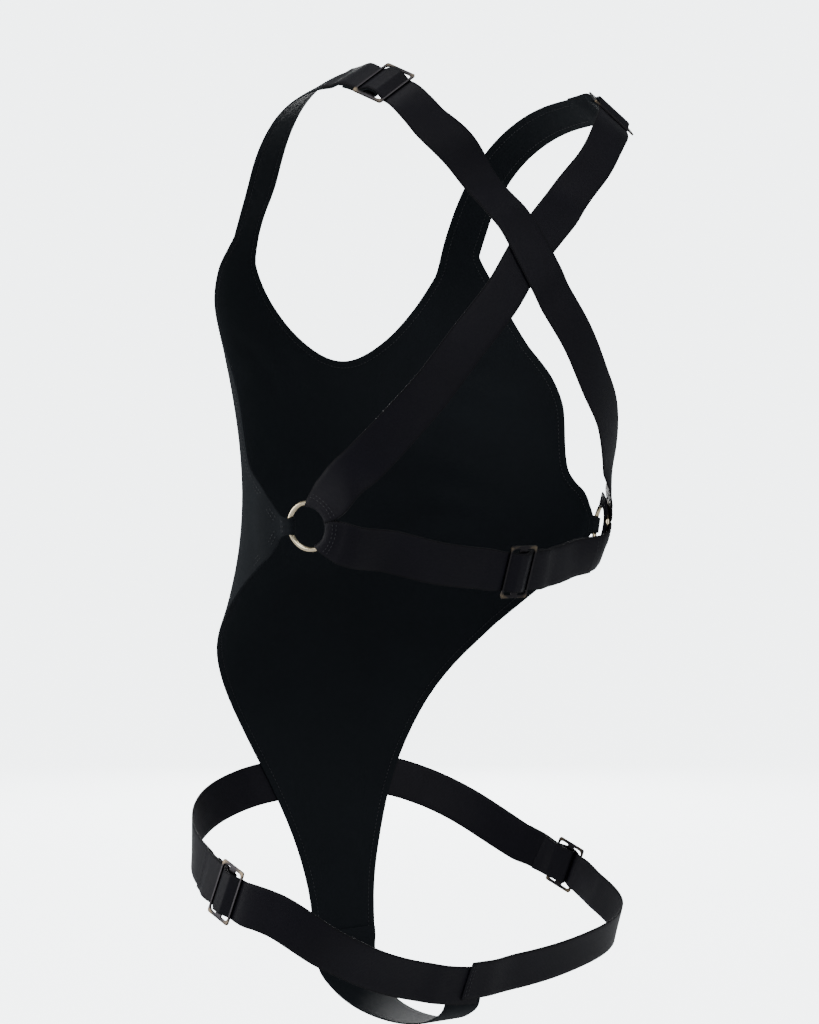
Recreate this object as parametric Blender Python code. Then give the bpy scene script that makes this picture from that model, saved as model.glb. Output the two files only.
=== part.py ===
"""Harness-back wrestling bodysuit, hollow and open as it is worn.

One cloth front panel with cut-on shoulder straps, a crotch strip, two rings at the waist, and
32 mm elastic webbing: two straps that cross on the back, one strap from ring to ring, and one
round each hip. Five three-bar sliders set their lengths.

Metres, +Z up. The front faces -Y and the wearer's left is +X. The origin is midway between the
shoulder straps, at the height of their highest line, where the wearer carries the garment.
"""

import math

import bmesh
import bpy
import numpy as np

# Cloth, webbing and the space between layers
CLOTH = 0.0012
WEB = 0.0012
WEB_HALF = 0.016
GAP = 0.0003
LAYER = WEB + GAP
FIRST = GAP + WEB / 2
CROSSING_GAP = 0.00055
CROSSING_FADE = (0.024, 0.042)

# Waist rings: a round wire bent to a 30 mm hole
RING_WIRE = 0.00175
RING_MID = 0.01685
RING_SIDES = 32
WIRE_SIDES = 8
RING_FACING = 66.0
RING_FALL = -8.0
RING_HEIGHT = FIRST + WEB / 2 + GAP + RING_WIRE
RING_ARC = (0.0195, 0.030)
RING_OUT = 0.042

# Three-bar sliders
SLIDER_HALF = 0.0206
SLIDER_CORNER = 0.0050
SLIDER_WIRE = 0.0008
SLIDER_MIDDLE = 0.0007
SLIDER_FLAT = 0.0024
SLIDER_PITCH = 0.0117
SLIDER_SIDES = 8
SLIDER_EASE = 0.0008
SLIDER_REST = (0.0150, 0.0190)
SLIDER_FADE = 2.7
SLIDER_STRAIGHT = (0.014, 0.034)
RING_REST = (0.029, 0.062)

# How far folded ends run back under themselves, and how far tails run past a slider
RETURN_LENGTH = 0.024
RETURN_FADE = (0.004, 0.012)
TAIL_FADE = (0.003, 0.012)
RING_RUN = 0.026
APPROACH = 0.030
SHOULDER_TAIL = 0.048
LEG_TAIL = 0.042
BACK_TAIL_STOP = 0.046

# The general figure, a row for each height
#   height, half_width, widest_y, front_y, back_y, front_square, back_square
FIGURE = (
    (-0.730, 0.172, 0.000, -0.080, 0.060, 2.9, 3.2),
    (-0.690, 0.175, 0.000, -0.084, 0.066, 2.9, 3.2),
    (-0.650, 0.179, 0.000, -0.089, 0.079, 2.8, 3.2),
    (-0.612, 0.180, 0.002, -0.094, 0.098, 2.6, 3.1),
    (-0.573, 0.176, 0.004, -0.100, 0.115, 2.5, 2.7),
    (-0.535, 0.173, 0.004, -0.108, 0.122, 2.5, 2.5),
    (-0.496, 0.168, 0.002, -0.115, 0.112, 2.5, 2.5),
    (-0.457, 0.161, 0.000, -0.118, 0.099, 2.5, 2.5),
    (-0.420, 0.154, 0.003, -0.115, 0.093, 2.4, 2.4),
    (-0.380, 0.146, 0.008, -0.106, 0.097, 2.2, 2.3),
    (-0.341, 0.144, 0.015, -0.094, 0.110, 2.1, 2.3),
    (-0.303, 0.147, 0.022, -0.087, 0.122, 2.0, 2.4),
    (-0.264, 0.151, 0.025, -0.085, 0.131, 2.0, 2.5),
    (-0.225, 0.155, 0.028, -0.089, 0.140, 2.15, 2.5),
    (-0.190, 0.158, 0.030, -0.094, 0.148, 2.4, 2.4),
    (-0.150, 0.161, 0.030, -0.095, 0.151, 2.8, 2.4),
    (-0.100, 0.160, 0.030, -0.092, 0.150, 2.7, 2.4),
    (-0.060, 0.158, 0.030, -0.088, 0.146, 2.6, 2.4),
)
TORSO_TOP = -0.130
TORSO_CAP = 0.120
SHOULDER_ACROSS = 0.109
SHOULDER_Y = 0.066
SHOULDER_DEPTH = 0.075
SHOULDER_REACH = 0.105
SHOULDER_RISE = 0.073
SHOULDER_SLOPE = 0.60
BODY_SCALE = 0.12
BODY_BLEND = 0.020
SHOULDER_SHARE = 0.65
SHOULDER_ROUND = 0.02
RAY = (0.02, 0.30)
RAY_STEPS = 40
NEAREST_STEPS = 12

# Routes of the webbing, as points near the figure
#   across, depth, height
SHOULDER_SLIDER = (0.1015, 0.1150, -0.0152)
BELOW_SLIDER = (0.0800, 0.1355, -0.0395)
RING_CENTRE = (0.1330, 0.0690, -0.3220)
OVER_SHOULDER = (
    SHOULDER_SLIDER,
    (0.1100, 0.0900, -0.0050),
    (0.1130, 0.0660, -0.0020),
    (0.1120, 0.0400, -0.0040),
    (0.1100, 0.0140, -0.0110),
    (0.1060, -0.0150, -0.0280),
    (0.1010, -0.0400, -0.0580),
    (0.0980, -0.0600, -0.0970),
    (0.0980, -0.0700, -0.1250),
)
CROSS_FROM_LEFT = (
    (-0.1100, 0.1080, -0.2590),
    (-0.0990, 0.1200, -0.2400),
    (-0.0740, 0.1360, -0.2140),
    (-0.0480, 0.1480, -0.1835),
    (-0.0230, 0.1520, -0.1560),
    (0.0000, 0.1530, -0.1240),
    (0.0150, 0.1490, -0.0990),
    (0.0310, 0.1420, -0.0770),
    (0.0550, 0.1410, -0.0560),
    BELOW_SLIDER,
)
CROSS_FROM_RIGHT = (
    (-0.1151, 0.0992, -0.2838),
    (-0.0955, 0.1180, -0.2557),
    (-0.0725, 0.1342, -0.2247),
    (-0.0508, 0.1463, -0.1921),
    (-0.0242, 0.1521, -0.1587),
    (0.0000, 0.1530, -0.1240),
    (0.0160, 0.1490, -0.1085),
    (0.0450, 0.1410, -0.0830),
    (0.0630, 0.1400, -0.0620),
    BELOW_SLIDER,
)
BACK_SLIDER = (-0.0220, 0.1055, -0.3545)
BACK_ROUTE = (
    (0.0860, 0.0980, -0.3400),
    (0.0435, 0.1060, -0.3500),
    (0.0000, 0.1070, -0.3540),
    BACK_SLIDER,
    (-0.0610, 0.1015, -0.3525),
    (-0.0950, 0.0920, -0.3440),
)
LEG_SLIDER_LEFT = (0.1755, 0.0310, -0.5840)
LEG_FROM_LEFT = (
    (-0.0300, 0.0750, -0.6650),
    (0.0000, 0.0750, -0.6640),
    (0.0371, 0.0786, -0.6580),
    (0.0802, 0.0830, -0.6455),
    (0.1236, 0.0838, -0.6245),
    (0.1569, 0.0700, -0.5992),
    LEG_SLIDER_LEFT,
    (0.1756, -0.0222, -0.5664),
    (0.1640, -0.0560, -0.5540),
    (0.1400, -0.0830, -0.5430),
    (0.1050, -0.1000, -0.5340),
    (0.0750, -0.1060, -0.5290),
    (0.0460, -0.1100, -0.5260),
)
LEG_SLIDER_RIGHT = (0.1730, -0.0290, -0.6060)
LEG_FROM_RIGHT = (
    (-0.0300, 0.0750, -0.6590),
    (0.0000, 0.0750, -0.6590),
    (0.0386, 0.0764, -0.6595),
    (0.0781, 0.0780, -0.6572),
    (0.1219, 0.0750, -0.6508),
    (0.1590, 0.0550, -0.6400),
    (0.1765, 0.0150, -0.6240),
    LEG_SLIDER_RIGHT,
    (0.1600, -0.0620, -0.5880),
    (0.1400, -0.0820, -0.5720),
    (0.1050, -0.0980, -0.5500),
    (0.0750, -0.1050, -0.5360),
    (0.0460, -0.1100, -0.5270),
)
JOIN_UNDERLAP = 0.012
JOIN_OVERLAP = 0.0025
JOIN_SLANT = 0.10
SLANT_FADE = 0.030
OVER_STRIP = (0.024, 0.046)
OVER_LEFT = (0.016, 0.034)
ON_PANEL = (0.052, 0.034)

# Front panel, a row for each height: bearings in degrees from the middle of the front
#   neck_bearing, neck_height, arm_bearing, arm_height
CHEST = (
    (37.0, -0.118, 54.5, -0.123),
    (30.5, -0.143, 59.0, -0.148),
    (21.5, -0.167, 65.5, -0.175),
    (10.5, -0.184, 74.0, -0.200),
    (0.0, -0.190, 80.0, -0.226),
    (0.0, -0.224, 82.5, -0.254),
    (0.0, -0.262, 85.5, -0.279),
    (0.0, -0.290, 93.0, -0.2955),
)
NECK_ROWS = 5
TIP_HEIGHTS = (-0.312, -0.326, -0.340)
TIP_REACH = 0.0245
TIP_HALF = 0.0075
TAB_HALF = 0.006
TAB_FOLD = 0.0122
TAB_FLARE = 0.017
#   middle_height, leg_bearing, leg_height
BELLY = (
    (-0.362, 97.5, -0.3420),
    (-0.386, 89.5, -0.3560),
    (-0.412, 80.5, -0.3720),
    (-0.440, 71.0, -0.3895),
    (-0.468, 61.0, -0.4100),
    (-0.497, 50.0, -0.4390),
    (-0.527, 39.0, -0.4780),
    (-0.557, 29.0, -0.5250),
    (-0.588, 22.5, -0.5700),
    (-0.620, 18.5, -0.6130),
    (-0.655, 18.0, -0.6550),
)
BELLY_FINE = 4
PANEL_COLUMNS = 12
CHEST_END = -0.098

# Crotch strip: its middle line in the plane x = 0, and its half width there
#   depth, height, half_width
CROTCH = (
    (-0.0885, -0.6553, 0.0287),
    (-0.0865, -0.6660, 0.0283),
    (-0.0830, -0.6760, 0.0270),
    (-0.0680, -0.6900, 0.0240),
    (-0.0420, -0.6990, 0.0210),
    (-0.0100, -0.7020, 0.0190),
    (0.0220, -0.7000, 0.0180),
    (0.0480, -0.6940, 0.0170),
    (0.0650, -0.6840, 0.0165),
    (0.0720, -0.6720, 0.0160),
    (0.0745, -0.6600, 0.0160),
    (0.0757, -0.6500, 0.0160),
)

CROTCH_LEAVES = (-0.690, -0.670)

STRAP_COLUMNS = 4
LINE_STEP = 0.001
STATION = 0.0110
LAYER_STEP = 0.0060
ARC_STEPS = 4


def clear_scene():
    for item in list(bpy.data.objects):
        bpy.data.objects.remove(item, do_unlink=True)


def smoothstep(low, high, value):
    t = np.clip((value - low) / (high - low), 0.0, 1.0)
    return t * t * (3 - 2 * t)


def hermite(knots, values, at):
    """A smooth curve through values at knots, read at other places."""
    slopes = np.gradient(values, knots, axis=0)
    at = np.clip(at, knots[0], knots[-1])
    i = np.clip(np.searchsorted(knots, at) - 1, 0, len(knots) - 2)
    span = knots[i + 1] - knots[i]
    t = (at - knots[i]) / span
    if values.ndim > 1:
        t, span = t[:, None], span[:, None]
    return ((2 * t**3 - 3 * t**2 + 1) * values[i] + (t**3 - 2 * t**2 + t) * span * slopes[i]
            + (3 * t**2 - 2 * t**3) * values[i + 1] + (t**3 - t**2) * span * slopes[i + 1])


def smooth_line(points, step):
    """Points about a step apart on a smooth curve through a few given ones."""
    points = np.array(points, float)
    knots = np.concatenate([[0], np.cumsum(np.linalg.norm(np.diff(points, axis=0), axis=1))])
    count = max(2, int(math.ceil(knots[-1] / step)) + 1)
    return hermite(knots, points, np.linspace(0, knots[-1], count))


def figure_rows(z):
    table = np.array(FIGURE)
    return [hermite(table[:, 0], table[:, k], z) for k in range(1, 7)]


def figure(p):
    """Below zero inside the general figure, zero on it."""
    x, y, z = p[..., 0], p[..., 1], p[..., 2]
    width, widest, front, back, front_square, back_square = figure_rows(z)
    depth = np.where(y > widest, back - widest, widest - front)
    square = np.where(y > widest, back_square, front_square)
    section = (np.abs(x / width) ** square + np.abs((y - widest) / depth) ** square) ** (1 / square)
    cap = np.maximum(z - TORSO_TOP, 0) / TORSO_CAP
    torso = (np.hypot(section, cap) - 1) * BODY_SCALE
    middle = -SHOULDER_RISE - SHOULDER_SLOPE * (np.hypot(x, SHOULDER_ROUND) - SHOULDER_ACROSS)
    reach = np.where(y > SHOULDER_Y, SHOULDER_DEPTH, SHOULDER_REACH)
    rod = np.hypot((y - SHOULDER_Y) / reach, (z - middle) / SHOULDER_RISE)
    shoulder = (rod - 1) * BODY_SCALE * SHOULDER_SHARE
    mix = np.clip(0.5 + 0.5 * (shoulder - torso) / BODY_BLEND, 0, 1)
    return torso * mix + shoulder * (1 - mix) - BODY_BLEND * mix * (1 - mix)


def slope(p, reach=0.0005):
    sides = []
    for axis in range(3):
        offset = np.zeros(3)
        offset[axis] = reach
        sides.append((figure(p + offset) - figure(p - offset)) / (2 * reach))
    return np.stack(sides, axis=-1)


def across_middle(place):
    return np.array(place) * (-1, 1, 1)


def unit(v):
    return v / np.linalg.norm(v, axis=-1, keepdims=True)


def to_figure(p):
    """The points of the figure nearest to p, and its outward direction there."""
    p = np.array(p, float)
    for _ in range(NEAREST_STEPS):
        g = slope(p)
        p = p - g * (figure(p) / np.maximum((g * g).sum(-1), 1e-9))[..., None]
    return p, unit(slope(p))


def front_ray(bearing, height):
    """Points of the figure at a bearing from the middle of the front and a height."""
    bearing, height = np.broadcast_arrays(np.radians(bearing), height)
    widest = figure_rows(height)[1]
    near, far = np.full(height.shape, RAY[0]), np.full(height.shape, RAY[1])
    for _ in range(RAY_STEPS):
        middle = (near + far) / 2
        p = np.stack([middle * np.sin(bearing), widest - middle * np.cos(bearing), height], -1)
        inside = figure(p) < 0
        near, far = np.where(inside, middle, near), np.where(inside, far, middle)
    return p


class FlatSpot:
    """A place where the layers lie in one plane, under a ring or a slider."""

    def __init__(self, place, facing=None, before=None, after=None):
        centre, normal = to_figure(np.array(place)[None])
        self.centre = centre[0]
        self.normal = normal[0] if facing is None else unit(np.array(facing))
        self.sides = None
        if before is not None:
            along = np.array(after) - np.array(before)
            along = unit(along - (along @ self.normal) * self.normal)
            self.sides = np.stack([along / SLIDER_REST[0], np.cross(self.normal, along) / SLIDER_REST[1]])

    def mirrored(self):
        other = object.__new__(FlatSpot)
        other.centre, other.normal = across_middle(self.centre), across_middle(self.normal)
        other.sides = None
        return other

    def share(self, p):
        """One inside the flat area, falling to zero around it."""
        offset = p - self.centre
        if self.sides is None:
            return 1 - smoothstep(*RING_REST, np.linalg.norm(offset, axis=-1))
        height = (offset @ self.normal) / SLIDER_REST[1]
        parts = np.abs(offset @ self.sides.T) ** 6
        return 1 - smoothstep(1, SLIDER_FADE, (parts.sum(-1) + height ** 6) ** (1 / 6))


def lay(p, spots):
    """Rests points on the figure, and in a flat spot's plane where one is near."""
    rest, normal = to_figure(p)
    for spot in spots:
        share = spot.share(p)[..., None]
        height = ((p - spot.centre) @ spot.normal)[..., None]
        rest = rest * (1 - share) + (p - height * spot.normal) * share
        normal = unit(normal * (1 - share) + spot.normal * share)
    return rest, normal


def slider_rest(points, place, before=None):
    """The flat spot of a slider, its bars across the line through the points beside it."""
    i = points.index(place)
    return FlatSpot(place, before=before or points[i - 1], after=points[i + 1])


class Route:
    """A line over the figure, measured along its length; s runs along it, w across, h off it."""

    def __init__(self, points, spots, slider_spot):
        self.spots = [*spots, slider_spot]
        self.measure(lay(smooth_line(points, LINE_STEP), self.spots)[0])
        away = (self.s - self.station(slider_spot.centre))[:, None]
        straight = slider_spot.centre + unit(slider_spot.sides[0]) * away
        share = 1 - smoothstep(*SLIDER_STRAIGHT, np.abs(away))
        self.measure(self.line * (1 - share) + straight * share)
        self.slider_at = self.station(slider_spot.centre)

    def measure(self, line):
        self.line = line
        self.s = np.concatenate([[0], np.cumsum(np.linalg.norm(np.diff(line, axis=0), axis=1))])
        self.length = self.s[-1]
        self.along = unit(np.gradient(line, self.s, axis=0))

    def station(self, place):
        near = np.argmin(np.linalg.norm(self.line - np.array(place), axis=1))
        return self.s[near] + float((np.array(place) - self.line[near]) @ self.along[near])

    def middle(self, s):
        inside = np.clip(s, 0, self.length)
        centre = np.stack([np.interp(inside, self.s, self.line[:, k]) for k in range(3)], -1)
        along = unit(np.stack([np.interp(inside, self.s, self.along[:, k]) for k in range(3)], -1))
        return centre + along * (s - inside)[..., None], along

    def place(self, s, w, h):
        s, w, h = np.broadcast_arrays(s, w, h)
        centre, along = self.middle(s)
        normal = lay(centre, self.spots)[1]
        side = unit(np.cross(normal, along))
        rest, normal = lay(centre + side * w[..., None], self.spots)
        return rest + normal * h[..., None]


def arc(centre_s, centre_h, radius, start, end, steps):
    """Points on a circle in the s-h plane, angles in degrees."""
    turn = np.radians(np.linspace(start, end, steps + 1))
    return list(zip(centre_s + radius * np.cos(turn), centre_h + radius * np.sin(turn)))


def stretch(start, end, height, spacing=STATION):
    """Stations from start to end, with the height that a function gives each.

    Those between fall on whole steps from zero, so that layers that lie together share them.
    """
    low, high = min(start, end), max(start, end)
    steps = np.arange(math.ceil(low / spacing), math.floor(high / spacing) + 1) * spacing
    inner = [s for s in steps if min(s - low, high - s) > spacing * 0.25]
    if end < start:
        inner.reverse()
    return [(s, float(height(s))) for s in [start, *inner, end]]


FOLD_BEND = RING_WIRE + GAP + WEB / 2
RING_SHOULDER = RING_MID + RING_WIRE + GAP


def on_figure(s):
    """Height of a layer that lies on the figure."""
    return FIRST


def ring_lift(d):
    """Height of the outer layer at distance d from a ring's centre."""
    start, end = (RETURN_LENGTH + fade for fade in RETURN_FADE)
    over_return = LAYER * (1 - smoothstep(start, end, d))
    rise = RING_HEIGHT + FOLD_BEND - FIRST - LAYER
    return FIRST + over_return + rise * (1 - smoothstep(RING_SHOULDER - GAP, start, d))


def ring_fold(centre=RING_MID):
    """The end of a strap at a ring: from its hidden end, round the wire, and out over it."""
    hidden = stretch(RETURN_LENGTH, centre, on_figure, LAYER_STEP)
    bend = arc(centre, RING_HEIGHT, FOLD_BEND, -90, -270, ARC_STEPS)
    out = stretch(centre, RING_OUT, ring_lift, LAYER_STEP * 2 / 3)
    return hidden[:-1] + bend + out[1:]


SLIDER_HEIGHT = FIRST + 2 * LAYER + WEB / 2 + GAP + SLIDER_WIRE
OUTER_BAR_BEND = SLIDER_WIRE + GAP + WEB / 2
MIDDLE_BAR_BEND = SLIDER_MIDDLE + 2 * GAP + WEB / 2
CROSS_ANGLE = math.degrees(math.asin((OUTER_BAR_BEND + MIDDLE_BAR_BEND + LAYER)
                                     / (SLIDER_PITCH - SLIDER_FLAT)))
UNDER_ANGLE = math.degrees(math.asin((OUTER_BAR_BEND + 2 * LAYER - MIDDLE_BAR_BEND)
                                     / (SLIDER_PITCH + SLIDER_FLAT)))


def tail_height(x):
    start, end = (RETURN_LENGTH + fade for fade in TAIL_FADE)
    return FIRST + 2 * LAYER - LAYER * smoothstep(start, end, x)


def fixed_height(x):
    """Height of the sewn strap past its slider, one layer under the tail."""
    return float(tail_height(x)) - LAYER


def threaded(tail):
    """The strap that is threaded: under one side bar, over the middle, under the other."""
    outer, top = OUTER_BAR_BEND, MIDDLE_BAR_BEND + LAYER
    level = SLIDER_HEIGHT - outer

    def rising(x):
        return FIRST + (level - FIRST) * smoothstep(-APPROACH, -SLIDER_PITCH, x)

    path = stretch(-APPROACH, -SLIDER_PITCH, rising, LAYER_STEP)[:-1]
    path += arc(-SLIDER_PITCH, SLIDER_HEIGHT, outer, -90, -90 + CROSS_ANGLE, 2)
    path += arc(-SLIDER_FLAT, SLIDER_HEIGHT, top, 90 + CROSS_ANGLE, 90, 2)
    path += arc(SLIDER_FLAT, SLIDER_HEIGHT, top, 90, 90 - CROSS_ANGLE, 2)
    path += arc(SLIDER_PITCH, SLIDER_HEIGHT, outer, -90 - CROSS_ANGLE, -90, 2)
    return path + stretch(SLIDER_PITCH, tail, tail_height, LAYER_STEP)[1:]


def fixed(reach):
    """The strap that is sewn round the middle bar, from its hidden end to a place on the route."""
    low = SLIDER_HEIGHT - FIRST
    path = stretch(RETURN_LENGTH, SLIDER_PITCH, on_figure, LAYER_STEP)[:-1]
    path += arc(SLIDER_PITCH, SLIDER_HEIGHT, low, -90, -90 - UNDER_ANGLE, 1)
    path += arc(-SLIDER_FLAT, SLIDER_HEIGHT, MIDDLE_BAR_BEND, -90 - UNDER_ANGLE, -270, 5)
    path += arc(SLIDER_FLAT, SLIDER_HEIGHT, MIDDLE_BAR_BEND, -270, -270 - CROSS_ANGLE, 1)
    path += arc(SLIDER_PITCH, SLIDER_HEIGHT, OUTER_BAR_BEND + LAYER, -90 - CROSS_ANGLE, -90, 2)
    return path + stretch(SLIDER_PITCH, reach, fixed_height, LAYER_STEP)[1:]


def sheet_rows(route, profile, thickness, left, right, columns, moved=None):
    """Under and over points of a strip whose middle follows a profile of (s, h).

    Where a strip's rows aren't straight across, a function moves their (s, w).
    """
    profile = np.array(profile)
    s, h = profile[:, 0], profile[:, 1]
    run = unit(np.gradient(profile, axis=0))
    for i in range(1, len(profile) - 1):
        before = unit(profile[i] - profile[i - 1])
        after = unit(profile[i + 1] - profile[i])
        run[i] = unit(before + after)
    up = np.stack([-run[:, 1], run[:, 0]], axis=1)
    share = np.linspace(0, 1, columns + 1)
    grids = []
    for side in (-0.5, 0.5):
        sheet_s, sheet_h = s + side * thickness * up[:, 0], h + side * thickness * up[:, 1]
        w = -right(sheet_s)[:, None] + (left(sheet_s) + right(sheet_s))[:, None] * share
        along = np.broadcast_to(sheet_s[:, None], w.shape)
        if moved is not None:
            along, w = moved(along, w)
        grids.append(route.place(along, w, sheet_h[:, None]))
    return grids


def turned_rows(profile):
    """Rows after which a profile runs back along its route."""
    return {i for i, (here, there) in enumerate(zip(profile, profile[1:])) if there[0] < here[0]}


def wall_faces(bm, under, over, rows, turned=()):
    """Closes two sheets of vertices into a wall. Each row lists its columns in order.

    Both sheets, and layers that lie together, are cut into triangles along the same corners,
    so the rows of a layer that runs back under itself are named as turned.
    """

    def strip(sheet, flip):
        for top, bottom in zip(rows, rows[1:]):
            for a, b in zip(top[1], top[1][1:]):
                below = [c for c in bottom[1] if a <= c <= b]
                if len(below) < 2:
                    continue
                fan = [sheet[top[0], a], sheet[top[0], b]]
                fan += [sheet[bottom[0], c] for c in reversed(below)]
                if top[0] in turned:
                    fan = fan[1:] + fan[:1]
                for left, right in zip(fan[1:], fan[2:]):
                    corners = (fan[0], left, right)
                    bm.faces.new(reversed(corners) if flip else corners)

    strip(over, False)
    strip(under, True)
    open_edges = [e for e in bm.edges if e.is_boundary]
    partner = {}
    for key, vert in under.items():
        partner[vert] = over[key]
        partner[over[key]] = vert
    done = set()
    for edge in open_edges:
        a, b = edge.verts
        if edge in done:
            continue
        other = bm.edges.get((partner[a], partner[b]))
        if other is None:
            continue
        done.update((edge, other))
        bm.faces.new((a, b, partner[b], partner[a]))


def colour_material(name, colour, roughness, metallic):
    material = bpy.data.materials.new(name)
    material.use_nodes = True
    shader = material.node_tree.nodes["Principled BSDF"]
    shader.inputs["Base Color"].default_value = (*colour, 1)
    shader.inputs["Roughness"].default_value = roughness
    shader.inputs["Metallic"].default_value = metallic
    return material


def finish_object(bm, name, material, flip=False):
    """Makes an object of a closed mesh, mirrored across x = 0 where asked."""
    if flip:
        for vert in bm.verts:
            vert.co.x = -vert.co.x
    bmesh.ops.recalc_face_normals(bm, faces=bm.faces)
    if bm.calc_volume(signed=True) < 0:
        bmesh.ops.reverse_faces(bm, faces=bm.faces)
    mesh = bpy.data.meshes.new(name)
    bm.to_mesh(mesh)
    bm.free()
    mesh.shade_smooth()
    mesh.set_sharp_from_angle(angle=math.radians(40))
    item = bpy.data.objects.new(name, mesh)
    bpy.context.scene.collection.objects.link(item)
    mesh.materials.append(material)
    return item


def strap(name, route, profile, left, right, material, flip=False, moved=None):
    grids = sheet_rows(route, profile, WEB, left, right, STRAP_COLUMNS, moved)
    bm = bmesh.new()
    count = len(profile)
    columns = list(range(STRAP_COLUMNS + 1))
    under, over = ({(i, j): bm.verts.new(grid[i, j]) for i in range(count) for j in columns}
                   for grid in grids)
    wall_faces(bm, under, over, [(i, columns) for i in range(count)], turned_rows(profile))
    return finish_object(bm, name, material, flip)


def past_slider(slider_at):
    """Half width along a strap, drawn in a little to pass the slider's rounded corners."""
    def half(s):
        return WEB_HALF - SLIDER_EASE * (1 - smoothstep(SLIDER_PITCH, RETURN_LENGTH, np.abs(s - slider_at)))
    return half


def ring_facing():
    turn, fall = math.radians(RING_FACING), math.radians(RING_FALL)
    return (math.sin(turn) * math.cos(fall), math.cos(turn) * math.cos(fall), math.sin(fall))


def radial_points(ring, towards):
    """The ring's centre and a straight run from it, in its plane, towards a point."""
    away = np.array(towards) - ring.centre
    away = unit(away - (away @ ring.normal) * ring.normal)
    return away, [ring.centre + away * d for d in np.linspace(0, RING_RUN, 5)]


def mitre(half_angle):
    """Half width on the side where two straps meet in a V at a ring."""
    cut = GAP / 2 / math.cos(half_angle)

    def half(d):
        return np.minimum(d * math.tan(half_angle) - cut, WEB_HALF)

    return half


def round_ring(d, w):
    """Moves a strap's rows near a ring into arcs about its centre, so that they follow the wire."""
    near = 1 - smoothstep(*RING_ARC, d)
    scale = 1 - near * (1 - d / np.hypot(d, w))
    return d * scale, w * scale


def ring_object(name, ring, material, flip):
    """A round wire ring in the plane of its flat spot."""
    bm = bmesh.new()
    across = unit(np.cross(ring.normal, (0, 0, 1)))
    up = np.cross(across, ring.normal)
    rim = []
    for k in range(RING_SIDES):
        turn = 2 * math.pi * k / RING_SIDES
        out = across * math.cos(turn) + up * math.sin(turn)
        loop = []
        for m in range(WIRE_SIDES):
            round_wire = 2 * math.pi * m / WIRE_SIDES
            radius = RING_MID + RING_WIRE * math.cos(round_wire)
            height = RING_HEIGHT + RING_WIRE * math.sin(round_wire)
            loop.append(bm.verts.new(ring.centre + out * radius + ring.normal * height))
        rim.append(loop)
    for k in range(RING_SIDES):
        here, there = rim[k], rim[(k + 1) % RING_SIDES]
        for m in range(WIRE_SIDES):
            n = (m + 1) % WIRE_SIDES
            bm.faces.new((here[m], here[n], there[n], there[m]))
    return finish_object(bm, name, material, flip)


def slider_outline():
    """Middle line of a slider's frame, as (along, across) with rounded corners."""
    along, across = SLIDER_PITCH, SLIDER_HALF - SLIDER_WIRE
    line = []
    for sign_s, sign_w, start in ((1, 1, 0), (-1, 1, 90), (-1, -1, 180), (1, -1, 270)):
        centre_s = sign_s * (along - SLIDER_CORNER)
        centre_w = sign_w * (across - SLIDER_CORNER)
        for step in range(4):
            turn = math.radians(start + 30 * step)
            line.append((centre_s + SLIDER_CORNER * math.cos(turn),
                         centre_w + SLIDER_CORNER * math.sin(turn)))
    return line


def slider_mesh():
    """Frame and middle bar of a slider, joined into one body, lying in its own plane."""
    bm = bmesh.new()
    line = slider_outline()
    count = len(line)
    loops = []
    for k, (s, w) in enumerate(line):
        back, ahead = np.array(line[k - 1]), np.array(line[(k + 1) % count])
        run = unit(ahead - back)
        out = np.array([run[1], -run[0]])
        loop = []
        for m in range(SLIDER_SIDES):
            turn = 2 * math.pi * (m + 0.5) / SLIDER_SIDES
            spot = np.array([s, w]) + out * SLIDER_WIRE * math.cos(turn)
            loop.append(bm.verts.new((spot[0], spot[1], SLIDER_WIRE * math.sin(turn))))
        loops.append(loop)
    for k in range(count):
        here, there = loops[k], loops[(k + 1) % count]
        for m in range(SLIDER_SIDES):
            n = (m + 1) % SLIDER_SIDES
            bm.faces.new((here[m], here[n], there[n], there[m]))
    bmesh.ops.recalc_face_normals(bm, faces=bm.faces)
    frame_mesh = bpy.data.meshes.new("slider_frame")
    bm.to_mesh(frame_mesh)
    bm.free()
    frame = bpy.data.objects.new("slider_frame", frame_mesh)
    bar_mesh = bpy.data.meshes.new("slider_bar")
    bm = bmesh.new()
    bmesh.ops.create_cone(bm, cap_ends=True, segments=10, radius1=SLIDER_MIDDLE,
                          radius2=SLIDER_MIDDLE, depth=2 * (SLIDER_HALF - SLIDER_WIRE))
    for vert in bm.verts:
        flat = math.copysign(SLIDER_FLAT, vert.co.x) if abs(vert.co.x) > 1e-5 else 0.0
        vert.co = (vert.co.x + flat, vert.co.z, vert.co.y)
    bmesh.ops.recalc_face_normals(bm, faces=bm.faces)
    bm.to_mesh(bar_mesh)
    bm.free()
    bar = bpy.data.objects.new("slider_bar", bar_mesh)
    for item in (frame, bar):
        bpy.context.scene.collection.objects.link(item)
    join = frame.modifiers.new("join", "BOOLEAN")
    join.operation = "UNION"
    join.solver = "EXACT"
    join.object = bar
    bpy.context.view_layer.update()
    whole = bpy.data.meshes.new_from_object(frame.evaluated_get(bpy.context.evaluated_depsgraph_get()))
    for item in (frame, bar):
        bpy.data.objects.remove(item, do_unlink=True)
    return whole


def slider_object(name, whole, route, spot, material, flip=False):
    """A slider laid in its flat spot, its bars across the strap."""
    centre, along = route.middle(np.array([route.slider_at]))
    centre, along = centre[0], along[0]
    along = unit(along - (along @ spot.normal) * spot.normal)
    side = np.cross(spot.normal, along)
    bm = bmesh.new()
    bm.from_mesh(whole)
    for vert in bm.verts:
        s, w, h = vert.co
        vert.co = centre + along * s + side * w + spot.normal * (SLIDER_HEIGHT + h)
    return finish_object(bm, name, material, flip)


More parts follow.
